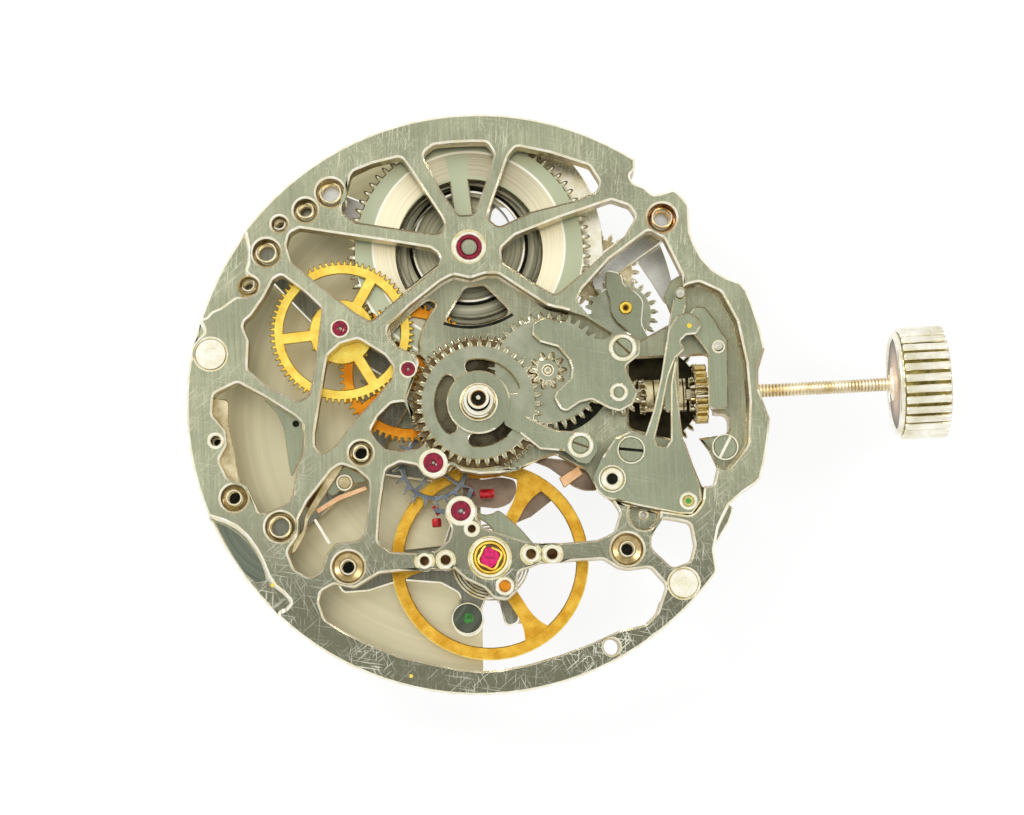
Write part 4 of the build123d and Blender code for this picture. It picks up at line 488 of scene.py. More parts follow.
# The carried-over parts that stay in sight, by their finish; every other part has a piece that stands for it
NODE_FINISHES = {
    "bright": "barrel_arbor balance_staff bridge_screws hairspring_collet hairspring_stud lever_pins "
              "ratchet_screw regulator rotor_post rotor_screw",
    "steel": "click ratchet_wheel reversing_pinion reversing_wheel transmission_wheel",
    "ruby": "bridge_jewels shock_jewels",
    # The cannon pinion and centre tube are painted near-black, the shade of their bores
    "dark": "cannon_pinion centre_tube",
    "edge": "casing_discs",
    "drum floor": "barrel_cover",
    # The crown node shows between the ribs and is painted dark there as shade
    "crown gaps painted shade": "crown",
    "blue steel": "pallet_fork",
    "red stone": "pallet_stones",
    "brass": "rotor_gear",
    "rotor": "rotor_weight",
    "stem": "stem",
}

finishes = {}


def make_finishes():
    """All the movement's finishes, each with a plain name."""
    tints = colours()
    for finish, (name, light, dark, *rest) in SATIN.items():
        finishes[finish] = satin_metal(name, shade(*light), shade(*dark), *rest)
    finishes.update({
        # The plate is painted darker towards its lower end, as shade
        "plate": grained_metal("grained plate", tints.plate, tints.worn, painted_shade_end=(-9.0, -3.6)),
        "cover": grained_metal("cover plate", shade(156, 161, 134), shade(140, 145, 120), roughness=0.36,
                               scratch_amount=0.12, fineness=12.0, depth=0.002),
        "bridge": grained_metal("brushed bridge", shade(160, 160, 142), shade(120, 122, 108),
                                scratch_amount=0.3),
        "edge": satin_metal("polished edge", tints.edge, shade(238, 230, 196), 0.22, depth=0.001),
        "steel": satin_metal("satin steel", tints.steel, shade(148, 152, 128), spots=0.8),
        "gilt": satin_metal("gilt", tints.gilt, shade(244, 200, 80), 0.28),
        "ruby": jewel_stone("ruby", tints.ruby, shade(88, 2, 28)),
        "red stone": jewel_stone("pallet stone", shade(206, 34, 44), shade(140, 10, 22)),
        "green stone": jewel_stone("green cap", shade(70, 150, 60), shade(30, 90, 34)),
        "cap ruby": jewel_stone("cap ruby", shade(214, 20, 110), shade(150, 6, 60)),
        "rotor": turned_metal("turned rotor", tints.rotor, shade(220, 211, 173), (0, 0, 0), 1.6, depth=0.001),
        "clamp": turned_metal("turned clamp", shade(116, 122, 106), shade(80, 84, 72), at((300, 500)), 3.0),
        "drum": drum_metal("turned drum", at(DRUM_PX, -1.72 * MM), shade(187, 193, 161),
                           shade(252, 242, 206), shade(255, 252, 232)),
        "drum floor": turned_metal("drum floor", shade(206, 202, 172), shade(124, 122, 98),
                                   at(DRUM_PX, -2.7 * MM), 5.0),
        "crown bowl painted shade": bowl_metal("crown bowl painted shade", shade(220, 190, 160), shade(48, 44, 32),
                                 centre_of("crown").z / MM, 2.1),
    })


def finish_node(name, finish):
    """Gives a CAD node its finish, in every slot that its mesh has."""
    materials = frame["nodes"][name].data.materials
    slots = max(len(materials), 1)
    materials.clear()
    for _ in range(slots):
        materials.append(finishes[finish])


# Modelling tools

def centre_of(node_name):
    """The middle of a CAD node's box."""
    low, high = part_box(node_name)
    return (low + high) / 2


def only(thing):
    """Selects one object alone and makes it active."""
    if bpy.context.mode != "OBJECT":
        bpy.ops.object.mode_set(mode="OBJECT")
    bpy.ops.object.select_all(action="DESELECT")
    thing.select_set(True)
    bpy.context.view_layer.objects.active = thing


def shape_by(thing, kind, **settings):
    """Adds a modifier with its settings and applies it."""
    modifier = thing.modifiers.new(kind.lower(), kind)
    for label, value in settings.items():
        setattr(modifier, label, value)
    only(thing)
    bpy.ops.object.modifier_apply(modifier=modifier.name)


def edit(*steps):
    """Runs steps in edit mode on the whole active mesh, each an operator with its settings."""
    bpy.ops.object.mode_set(mode="EDIT")
    for operator, settings in steps:
        bpy.ops.mesh.select_all(action="SELECT")
        operator(**settings)
    bpy.ops.object.mode_set(mode="OBJECT")


def give(made, *finish_names):
    """Gives an object its finishes, one slot for each."""
    made.data.materials.clear()
    for finish in finish_names:
        made.data.materials.append(finishes[finish])


def dressed(made, *finish_names, smooth=35):
    """Puts a shape's place in its mesh, and gives it its finishes and smooth faces."""
    only(made)
    bpy.ops.object.transform_apply(location=True, rotation=True, scale=True)
    if finish_names:
        give(made, *finish_names)
    if smooth:
        bpy.ops.object.shade_smooth_by_angle(angle=radians(smooth))
    return made


def join(shapes):
    """Joins shapes into the first of them."""
    only(shapes[0])
    for shape in shapes:
        shape.select_set(True)
    if len(shapes) > 1:
        bpy.ops.object.join()
    return shapes[0]


def piece(name, body, slot, *shapes, stands_for=None):
    """Joins shapes into a named piece that rides on a body, in place of a CAD node if one is given."""
    made = join(shapes)
    made.name = made.data.name = name
    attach(made, body)
    if stands_for:
        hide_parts(stands_for)


# Corners where two outlines run so close that a bevel would fold: pixel and reach in pixels
CROWDED_CORNERS = (((508, 417), 20), ((600, 327), 34), ((583, 459), 26))

# Height of a face's normal: at most the first on a wall, at least the second on a face that looks up, and
# under the third where a face gets the wall's own finish
WALL_LEAN = 0.4
TOP_LEAN = 0.7
STEEP_LEAN = 0.3

# Gaps that are closed in the mesh of a part and of a turned shape
PART_WELD = 0.0004 * MM
TURNED_WELD = 0.0005 * MM


def weigh_edges(made, both_sides):
    """Marks the edges that a bevel cuts: where a face that looks up, or down too, meets a wall."""
    shape = bmesh.new()
    shape.from_mesh(made.data)
    weight = shape.edges.layers.float.new("bevel_weight_edge")
    for edge in shape.edges:
        tilts = [face.normal.z for face in edge.link_faces]
        if len(tilts) != 2 or min(abs(t) for t in tilts) > WALL_LEAN:
            continue
        if max(tilts) < TOP_LEAN and not (both_sides and min(tilts) < -TOP_LEAN):
            continue
        middle = (edge.verts[0].co + edge.verts[1].co) / 2
        if all((middle.xy - at(spot, middle.z).xy).length > reach * PIXEL for spot, reach in CROWDED_CORNERS):
            edge[weight] = 1.0
    shape.to_mesh(made.data)
    shape.free()


def edged(node_name, finish, width, edge="edge", wall="wall", slot="steel", body=None, name=None,
          both_sides=False):
    """A copy of a CAD node with its loose triangles joined, bevelled edges and walls in their own finish."""
    source = frame["nodes"][node_name]
    made = source.copy()
    made.data = source.data.copy()
    made.parent = None
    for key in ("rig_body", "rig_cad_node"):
        del made[key]
    bpy.context.scene.collection.objects.link(made)
    only(made)
    bpy.ops.mesh.customdata_custom_splitnormals_clear()
    bpy.ops.object.shade_flat()
    edit((bpy.ops.mesh.remove_doubles, {"threshold": PART_WELD}))
    give(made, finish, edge, wall)
    face_slot, edge_slot, wall_slot = range(3)
    for face in made.data.polygons:
        face.material_index = face_slot
    weigh_edges(made, both_sides)
    shape_by(made, "BEVEL", width=width, segments=1, limit_method="WEIGHT", material=edge_slot,
             use_clamp_overlap=False, loop_slide=False)
    for face in made.data.polygons:
        if face.material_index == face_slot and abs(face.normal.z) < STEEP_LEAN:
            face.material_index = wall_slot
    piece(name or node_name + "_edged", body or node_name, slot, dressed(made, smooth=None),
          stands_for=node_name)


def px(length):
    """A length in the picture's pixels, in millimetres on the movement."""
    return length * PIXEL / MM


def drawn(points, filled=False, place=(0, 0, 0)):
    """A new object at a place: points joined in a line, or an outline filled with a face that looks up."""
    bpy.ops.object.select_all(action="DESELECT")
    bpy.ops.mesh.primitive_plane_add(size=MM, location=place)
    made = bpy.context.object
    shape = bmesh.new()
    corners = [shape.verts.new(point) for point in points]
    if filled:
        shape.faces.new(corners)
        bmesh.ops.recalc_face_normals(shape, faces=shape.faces)
        if shape.faces[:][0].normal.z < 0:
            bmesh.ops.reverse_faces(shape, faces=shape.faces)
    else:
        for first, second in zip(corners, corners[1:]):
            shape.edges.new((first, second))
    shape.to_mesh(made.data)
    shape.free()
    return made


def turned(place, profile, finish, steps=40):
    """A turned shape: a profile of (radius, height) in millimetres, spun about an axis at a place."""
    made = drawn([(radius * MM, 0, height * MM) for radius, height in profile], place=place)
    edit((bpy.ops.mesh.spin, {"steps": steps, "angle": 2 * pi, "center": place, "axis": (0, 0, 1)}),
         (bpy.ops.mesh.remove_doubles, {"threshold": TURNED_WELD}),
         (bpy.ops.mesh.normals_make_consistent, {"inside": False}))
    return dressed(made, finish)


def ring(spot, z, inner_px, outer_px, height, finish, steps=36):
    """A ring with softened edges; z and height in millimetres, z at its foot."""
    inner, outer = px(inner_px), px(outer_px)
    soft = min(0.3 * (outer - inner), 0.4 * height)
    profile = [(inner, 0), (inner, height - soft), (inner + soft, height), (outer - soft, height),
               (outer, height - soft), (outer, 0), (inner, 0)]
    return turned(at(spot, z * MM), profile, finish, steps)


def disc(spot, z, radius_px, height, finish, steps=32):
    """A flat disc with a softened edge; z and height in millimetres, z at its foot."""
    radius = px(radius_px)
    soft = min(0.15 * radius, 0.4 * height)
    profile = [(0, height), (radius - soft, height), (radius, height - soft), (radius, 0), (0, 0)]
    return turned(at(spot, z * MM), profile, finish, steps)


def cored_ring(spot, z, inner_px, outer_px, height, finish, core_height, core_finish):
    """A ring and the core that fills it, as two shapes."""
    play = 0.1
    return [ring(spot, z, inner_px, outer_px, height, finish),
            disc(spot, z, inner_px + play, core_height, core_finish)]


def screw_head(spot, radius_px, turn_deg, kerf_painted_light):
    """A screw's head with a sawn slot across it in a finish of its own: a dark one paints the slot's shade,
    the bright edge paints a highlight.
    """
    z, height = -0.06, 0.12
    made = disc(spot, z, radius_px, height, "cover")
    made.data.materials.append(finishes[kerf_painted_light])
    width = 0.24 * px(radius_px) * MM
    reach_share, depth_share = 0.52, 0.95
    middle = at(spot, z * MM)
    bpy.ops.mesh.primitive_cube_add(size=1, location=(middle.x, middle.y, (z + height) * MM),
                                    rotation=(0, 0, radians(turn_deg)))
    saw = bpy.context.object
    saw.scale = (3 * px(radius_px) * MM, width, height * MM)
    shape_by(made, "BOOLEAN", object=saw, operation="DIFFERENCE")
    bpy.data.objects.remove(saw)
    along = Vector((cos(radians(turn_deg)), sin(radians(turn_deg))))
    for face in made.data.polygons:
        offset = face.center.xy - middle.xy
        across = abs(offset.x * along.y - offset.y * along.x)
        if across < reach_share * width and face.center.z < (z + depth_share * height) * MM:
            face.material_index = 1
    return made


def plate(outline_px, top, thickness, finish, width=0.05, soft=0, edge="edge", wall="wall"):
    """A flat shape from an outline in pixels, with corners softened by a radius in pixels and a polished edge
    round its top; heights in millimetres."""
    if soft:
        outline_px = rounded(outline_px, soft)
    made = drawn([at(spot, top * MM) for spot in outline_px], filled=True)
    give(made, finish, edge, wall)
    shape_by(made, "SOLIDIFY", thickness=thickness * MM, offset=-1, material_offset_rim=2)
    shape_by(made, "BEVEL", width=width * MM, segments=1, material=1, angle_limit=radians(60))
    return dressed(made, smooth=None)


def rounded(corners, radius, steps=4):
    """An outline in pixels with each corner turned into a short arc."""
    points = []
    count = len(corners)
    for index, corner in enumerate(corners):
        here = Vector(corner)
        before = Vector(corners[index - 1]) - here
        after = Vector(corners[(index + 1) % count]) - here
        reach = min(radius, 0.45 * before.length, 0.45 * after.length)
        start = here + before.normalized() * reach
        end = here + after.normalized() * reach
        for step in range(steps + 1):
            share = step / steps
            points.append(tuple(start * (1 - share) ** 2 + here * 2 * share * (1 - share) + end * share ** 2))
    return points


def round_the(centre, radius, turn_deg):
    """A pixel at a distance from another one; angles run anticlockwise from the right."""
    return centre[0] + radius * cos(radians(turn_deg)), centre[1] - radius * sin(radians(turn_deg))


def arc(centre, inner, outer, start_deg, end_deg, steps=24):
    """An outline in pixels of a part of a flat ring."""
    turns = [start_deg + (end_deg - start_deg) * step / steps for step in range(steps + 1)]
    return ([round_the(centre, outer, turn) for turn in turns]
            + [round_the(centre, inner, turn) for turn in reversed(turns)])


def wire(points_px, height, radius_px, finish):
    """A round wire along points in pixels, lying at one height in millimetres."""
    line = bpy.data.curves.new("wire", "CURVE")
    line.dimensions = "3D"
    line.bevel_depth = px(radius_px) * MM
    line.bevel_resolution = 2
    path = line.splines.new("POLY")
    path.points.add(len(points_px) - 1)
    for point, spot in zip(path.points, points_px):
        point.co = (*at(spot, height * MM), 1)
    made = bpy.data.objects.new("wire", line)
    bpy.context.scene.collection.objects.link(made)
    only(made)
    bpy.ops.object.convert(target="MESH")
    return dressed(bpy.context.object, finish, smooth=60)


def rod(place, radius, length, vertices=64, turn_deg=0):
    """A plain cylinder along the stem, or turned about Z from there."""
    bpy.ops.mesh.primitive_cylinder_add(vertices=vertices, radius=radius, depth=length, location=place,
                                        rotation=(0, QUARTER, radians(turn_deg)))
    return bpy.context.object


# Pieces of the movement, one operator for each

class MOVEMENT_OT_finishes(bpy.types.Operator):
    """Make the finishes and give them to the carried-over parts that stay in sight"""
    bl_idname = "movement.finishes"
    bl_label = "Finishes"

    def execute(self, context):
        make_finishes()
        for finish, names in NODE_FINISHES.items():
            for name in names.split():
                finish_node(name, finish)
        return {"FINISHED"}


class MOVEMENT_OT_plate(bpy.types.Operator):
    """Main plate with grained faces and polished edges round its openings"""
    bl_idname = "movement.plate"
    bl_label = "Main plate"

    def execute(self, context):
        edged("main_plate", "plate", sizes().plate_edge, slot="plate", body="frame", name="plate_edged")
        return {"FINISHED"}


class MOVEMENT_OT_covers(bpy.types.Operator):
    """Covers over the motion work and the keyless work, with polished edges"""
    bl_idname = "movement.covers"
    bl_label = "Covers"

    def execute(self, context):
        for node_name, name in (("minute_wheel_bridge", "minute_cover"), ("hour_wheel_guard", "hour_guard"),
                                ("setting_lever_jumper", "jumper")):
            edged(node_name, "cover", sizes().cover_edge, slot="plate", body="frame", name=name + "_edged")
        return {"FINISHED"}


class MOVEMENT_OT_bridges(bpy.types.Operator):
    """Rear bridges and the balance cock, with polished edges"""
    bl_idname = "movement.bridges"
    bl_label = "Rear bridges"

    def execute(self, context):
        # The barrel bridge takes the paler copy of the bridge metal, painted light against its shade
        for node_name, finish in (("train_bridge", "bridge"), ("barrel_bridge", "bridge painted light"),
                                  ("balance_cock", "bridge"), ("pallet_bridge", "bridge")):
            edged(node_name, finish, sizes().cover_edge, slot="bridge", body="frame", both_sides=True)
        return {"FINISHED"}


class MOVEMENT_OT_wheels(bpy.types.Operator):
    """Toothed wheels and levers with a bright edge round each tooth"""
    bl_idname = "movement.wheels"
    bl_label = "Wheels"

    def execute(self, context):
        width = sizes().wheel_edge
        # The crown wheel gets the dark well finish, painted shade of the well it lies in
        for name, finish in (("hour_wheel", "steel"), ("minute_wheel", "steel"), ("setting_wheel", "steel"),
                             ("crown_wheel", "well"), ("first_winding_wheel", "steel"),
                             ("second_winding_wheel", "ledge")):
            edged(name, finish, width)
        # The driving wheel under the hour wheel is painted dark brown, as the shade it lies in
        edged("cannon_driving_wheel", "brown steel", 0.6 * width, wall="brown steel", body="cannon",
              name="driving_wheel_edged")
        edged("barrel_drum", "drum", width, slot="bridge", body="barrel", name="drum_edged")
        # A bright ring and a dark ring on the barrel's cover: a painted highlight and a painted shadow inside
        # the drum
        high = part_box("barrel_cover")[1].z / MM
        piece("drum_painted_light_rings", "barrel", "bridge", ring(DRUM_PX, high, 55, 58, 0.06, "edge", steps=64),
              ring(DRUM_PX, high, 58, 61, 0.02, "dark", steps=64))
        gilt = {"edge": "gilt edge", "wall": "gilt wall", "slot": "gilt"}
        for name, finish in (("second_wheel", "gilt"), ("third_wheel", "deep gilt"),
                             ("fourth_wheel", "deep gilt")):
            edged(name, finish, 0.6 * width, **gilt)
        edged("balance_wheel", "balance gold", 0.8 * width, **gilt, body="balance", name="balance_edged",
              both_sides=True)
        edged("escape_wheel", "blue steel", 0.5 * width)
        # Darker brown tooth walls on the winding pinion and clutch wheel paint the shade in their gaps
        edged("winding_pinion", "brass", width, wall="brown steel", slot="gilt", both_sides=True)
        edged("clutch_wheel", "knurl", width, wall="brown", both_sides=True)
        for name in ("setting_lever", "yoke"):
            edged(name, "cover", width)
        self.clutch_groove_shades()
        return {"FINISHED"}

    def clutch_groove_shades(self):
        # Dark brown bands just proud of the clutch wheel, painted shade in its grooves
        axis = centre_of("clutch_wheel")
        low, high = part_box("clutch_wheel")
        grooves = []
        for share in (0.3, 0.46, 0.62, 0.94):
            place = (low.x + share * (high.x - low.x), axis.y, axis.z)
            grooves.append(dressed(rod(place, 0.805 * MM, 0.07 * MM, vertices=40), "brown"))
        piece("clutch_groove_shades", "clutch_wheel", "steel", *grooves)


# Lined holes of the plate: pixel, outer and inner radius in pixels, and the finish of the bottom; a dark
# bottom is painted shade
LINED_HOLES_PX = (
    ((329, 190), 14.5, 9, "pocket"), ((304, 208), 12, 6.5, "pocket"), ((278, 222), 8, 4.5, "brown steel"),
    ((265, 251), 14, 8.5, "pocket"), ((663, 215), 14.5, 8.5, "ledge"), ((235, 498), 13.5, 6, "dark"),
    ((281, 527), 15, 9, "pocket"), ((361, 453), 12, 6, "dark"), ((349, 567), 16, 6, "dark"),
    ((627, 549), 16, 6, "dark"), ((247, 284), 9, 5, "pocket"),
)

# Small rings of the plate: pixel, outer and inner radius in pixels
SMALL_RINGS_PX = (((425, 561), 8.5, 4.6), ((446, 560), 9.5, 5), ((531, 554), 9.2, 5), ((552, 554), 9.8, 5.4),
                  ((472, 529), 8.4, 4))


class MOVEMENT_OT_holes(bpy.types.Operator):
    """Brown walls, bright rings and bottoms in the plate's screw holes, the dark ones painted as shade"""
    bl_idname = "movement.holes"
    bl_label = "Screw holes"

    def execute(self, context):
        shapes = []
        low = -0.66
        for spot, outer, inner, floor in LINED_HOLES_PX:
            mouth, foot = px(outer - 0.4), px(inner + 2.2)
            cup = [(mouth, -0.13), (px(outer - 2), -0.5), (foot, low), (foot, low - 0.02),
                   (mouth, low - 0.02), (mouth, -0.13)]
            # Dark bottoms, painted shade, lie at -1.0 mm; the others lie deeper
            deep = -1.0 if floor == "dark" else -1.9
            shapes += [turned(at(spot), cup, "deep wall" if floor == "ledge" else "wall"),
                       ring(spot, low, inner + 0.2, inner + 2.4, 0.08, "edge"),
                       disc(spot, deep, inner + 0.3, 0.05, floor)]
        for spot, outer, inner in SMALL_RINGS_PX:
            # Brown discs at the foot of the small rings paint the shade in their holes
            shapes += [ring(spot, -0.2, inner, outer, 0.23, "edge"),
                       disc(spot, -0.3, inner + 0.3, 0.05, "brown")]
        piece("hole_linings", "frame", "plate", *shapes)
        return {"FINISHED"}


# Jewels of the plate: pixel, then the radii of ring, stone and hole in pixels
PLATE_JEWELS_PX = (((339.5, 328), 9.6, 7.4, 2.2), ((408, 369), 9, 6.6, 1.8), ((433.5, 463), 14.5, 9.6, 2.4),
                   ((461, 511), 15, 9.6, 2.8))


class MOVEMENT_OT_jewels(bpy.types.Operator):
    """Rubies in bright rings, the balance's sprung setting and the barrel's jewel"""
    bl_idname = "movement.jewels"
    bl_label = "Jewels"

    def execute(self, context):
        shapes = []
        for spot, outer, stone, hole in PLATE_JEWELS_PX:
            high = 0.03
            dish = [(px(hole), -0.05), (px(hole), -0.03), (px(0.55 * stone), high), (px(stone), high),
                    (px(stone), -0.05), (px(hole), -0.05)]
            shapes += [ring(spot, -0.05, stone, outer, 0.09, "edge"), turned(at(spot), dish, "ruby"),
                       disc(spot, -0.06, 0.7 * hole, 0.04, "steel", steps=16)]
        piece("plate_rubies", "frame", "ruby", *shapes, stands_for="plate_jewels")
        piece("barrel_ruby", "frame", "gilt", ring(ARBOR_PX, -0.1, 12.4, 16.2, 0.15, "edge"),
              ring(ARBOR_PX, -0.1, 8.4, 12.5, 0.12, "ruby"), stands_for="barrel_bush")
        piece("barrel_arbor_tip", "ratchet", "steel", disc(ARBOR_PX, -0.08, 8.0, 0.14, "steel"))
        self.balance_setting()
        return {"FINISHED"}

    def balance_setting(self):
        """The sprung setting with its four-lobed lyre, then the pin beside it and the stud's cap."""
        reach_px, swing_px, lobes = 10.8, 1.1, 4
        start_deg, step_deg, first_lobe_deg = 110, 3.3, 20
        lyre = []
        for step in range(101):
            turn_deg = start_deg + step_deg * step
            bow = cos(radians(lobes * (turn_deg - first_lobe_deg)))
            lyre.append(round_the(BALANCE_PX, reach_px + swing_px * bow, turn_deg))
        piece("balance_setting", "frame", "gilt",
              ring(BALANCE_PX, -0.1, 16.8, 20, 0.18, "edge"),
              ring(BALANCE_PX, -0.1, 15.8, 16.9, 0.1, "brown"),
              ring(BALANCE_PX, -0.1, 13.4, 16, 0.16, "gilt"),
              disc(BALANCE_PX, -0.1, 13.5, 0.08, "brown steel"),
              disc(BALANCE_PX, -0.1, 10.6, 0.12, "cap ruby"), wire(lyre, 0.05, 1.2, "gilt"),
              stands_for="dial_side_shock_setting")
        piece("balance_pin", "frame", "plate",
              *cored_ring(PIN_PX, -0.15, 4.8, 10, 0.2, "edge", 0.21, "deep gilt"))
        piece("stud_cap", "frame", "bridge", disc(STUD_PX, -3.74, 14.4, 0.05, "clamp"),
              ring(STUD_PX, -3.74, 14.4, 16.4, 0.07, "edge"),
              disc(STUD_STONE_PX, -3.7, 5.6, 0.08, "green stone"))


# Screws on the dial side: pixel, radius of ring and head in pixels, turn of the slot and its finish, which
# paints shade in the dark slots and a highlight in the bright one
SUNK_SCREWS_PX = (((623, 347), 14, 9.4, -45, "brown steel"), ((580.5, 445), 13, 8.6, -22, "brown steel"))
FLAT_SCREWS_PX = (((631, 450), 14, 12.5, -8, "dark"), ((725, 447), 13.2, 11.7, 60, "edge"))

# Pins on the dial side: pixel, outer and inner radius of the ring in pixels, and the core's finish; a dark
# core paints the shade in its hole
PINS_PX = (((619, 392), 9.2, 5.4, "cover"), ((688, 501), 9, 5.4, "brass"), ((612, 479), 11.2, 5.4, "dark"))
PIN_STONE_PX = (688, 501)
PIN_LIP_PX = (612, 479)
CATCH_PX = (690, 325)


class MOVEMENT_OT_screws(bpy.types.Operator):
    """Slotted screws and pins on the dial side, each in its bright ring"""
    bl_idname = "movement.screws"
    bl_label = "Screws and pins"

    def execute(self, context):
        shapes = []
        for screws, z, height, lap in ((SUNK_SCREWS_PX, -0.06, 0.16, 0), (FLAT_SCREWS_PX, -0.04, 0.11, 0.1)):
            for spot, outer, head, turn_deg, kerf in screws:
                shapes += [ring(spot, z, head - lap, outer, height, "edge"),
                           screw_head(spot, head, turn_deg, kerf)]
        for spot, outer, inner, core in PINS_PX:
            shapes += cored_ring(spot, -0.06, inner, outer, 0.13, "edge", 0.09, core)
        shapes += [disc(PIN_STONE_PX, 0.0, 3, 0.06, "green stone"),
                   ring(PIN_LIP_PX, -0.04, 12.4, 13.8, 0.11, "edge"),
                   disc(CATCH_PX, -0.06, 2.6, 0.09, "gilt")]
        piece("cover_screws", "frame", "steel", *shapes, stands_for="dial_side_screws")
        return {"FINISHED"}


class MOVEMENT_OT_hand_posts(bpy.types.Operator):
    """Bright and dark rings of the posts that carry the hands"""
    bl_idname = "movement.hand_posts"
    bl_label = "Hand posts"

    def execute(self, context):
        top = {name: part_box(name)[1].z for name in ("fourth_wheel", "cannon_driving_wheel", "cannon_pinion",
                                                    "hour_wheel")}
        sunk = 0.03 * MM
        for name, body, slot, z, finish, profile in (
                ("seconds_tip", "fourth_wheel", "steel", top["fourth_wheel"], "bright",
                 [(0, 0.03), (0.09, 0.02), (0.11, -0.05), (0, -0.05)]),
                ("guard_ring", "frame", "plate", -0.05 * MM, "edge",
                 [(0.8, 0), (0.8, 0.04), (0.86, 0.06), (0.9, 0.03), (0.9, 0), (0.8, 0)]),
                ("slot_shade", "cannon", "steel", top["cannon_driving_wheel"], "shaded steel",
                 [(1.1, 0), (1.1, 0.04), (2.25, 0.04), (2.25, 0), (1.1, 0)]),
                ("cannon_rim", "cannon", "steel", top["cannon_pinion"] - sunk, "edge",
                 [(0.34, 0), (0.34, 0.02), (0.38, 0.05), (0.47, 0.05), (0.5, 0.02), (0.5, 0), (0.34, 0)]),
                ("hour_rim", "hour_wheel", "steel", top["hour_wheel"] - sunk, "edge",
                 [(0.52, 0), (0.52, 0.02), (0.55, 0.05), (0.67, 0.05), (0.7, 0.02), (0.7, 0), (0.52, 0)])):
            piece(name, body, slot, turned(Vector((0, 0, z)), profile, finish))
        return {"FINISHED"}


# Outlines in pixels of the flat shapes that show in the plate's windows and on its lowered rim
OUTLINES_PX = {
    "outer ledge": [(212, 398), (229, 400), (229, 425), (235, 452), (239, 475), (244, 490), (232, 486),
                    (221, 468), (219, 450), (226, 440), (222, 425), (212, 415)],
    "middle ledge": [(262, 398), (283, 410), (299, 418), (304, 430), (303, 452), (296, 470), (292, 478),
                     (289, 462), (285, 430), (276, 412)],
    "lower ledge": [(292, 555), (294, 543), (304, 530), (305, 516), (334, 466), (345, 465), (338, 476),
                    (309, 521), (306, 536), (297, 552)],
    "peach bar": [(316, 510), (338, 496), (366, 486), (368, 490), (340, 501), (319, 514)],
    "brown bar": [(304, 505), (335, 468), (341, 472), (310, 510)],
    "setting bridge": [(330, 478), (344, 466), (362, 474), (368, 482), (350, 484), (333, 497), (326, 492)],
    "thin rib": [(314, 520), (317, 519), (332, 543), (329, 545)],
    "peach block": [(559, 478), (578, 466), (583, 474), (564, 488)],
    "bridge below": [(528, 452), (548, 458), (566, 460), (584, 463), (598, 480), (597, 491), (584, 491),
                     (573, 487), (560, 476), (549, 468), (536, 463), (526, 461)],
    "pallet backing": [(462, 478), (482, 480), (500, 477), (515, 480), (517, 490), (512, 503), (498, 509),
                       (480, 507), (462, 505)],
    "gilt segment": [(466, 458), (514, 456), (513, 472), (500, 477), (482, 479), (466, 477)],
    "brown wedge": [(514, 524), (520, 510), (529, 499), (541, 488), (554, 499), (531, 517)],
    "upper arm": [(476, 511), (484, 515), (492, 514), (498, 510), (504, 514), (520, 528), (535, 545),
                  (523, 547), (508, 542), (496, 534), (488, 524), (478, 518)],
    "winding bridge": [(606, 268), (622, 272), (624, 284), (637, 291), (644, 299), (643, 313), (642, 323),
                       (648, 334), (655, 346), (648, 357), (637, 350), (633, 338), (626, 329), (616, 321),
                       (611, 312), (610, 298), (606, 288)],
    "pale bar": [(640, 228), (655, 226), (667, 258), (673, 280), (667, 306), (650, 278), (633, 254),
                 (630, 240)],
    "grey wedge": [(672, 279), (684, 272), (690, 290), (684, 306), (672, 316), (664, 296)],
    "clamp seat": [(217, 522), (229, 527), (241, 535), (252, 546), (261, 559), (266, 571), (268, 581),
                   (257, 583), (246, 573), (237, 560), (228, 545), (221, 532)],
}
LEDGE_HOLE_PX = (296, 424)
BOSS_PX = (345, 483)
RECESS_PX = (548.5, 369)
GILT_SPOTS_PX = ((412, 675), (274, 585))
BUSH_PX = (626, 307)
LEVER_RING_PX = (719, 346)
FOOT_HOLE_PX = (216, 441)
LEVER_PIN_PX = (681, 291.5)


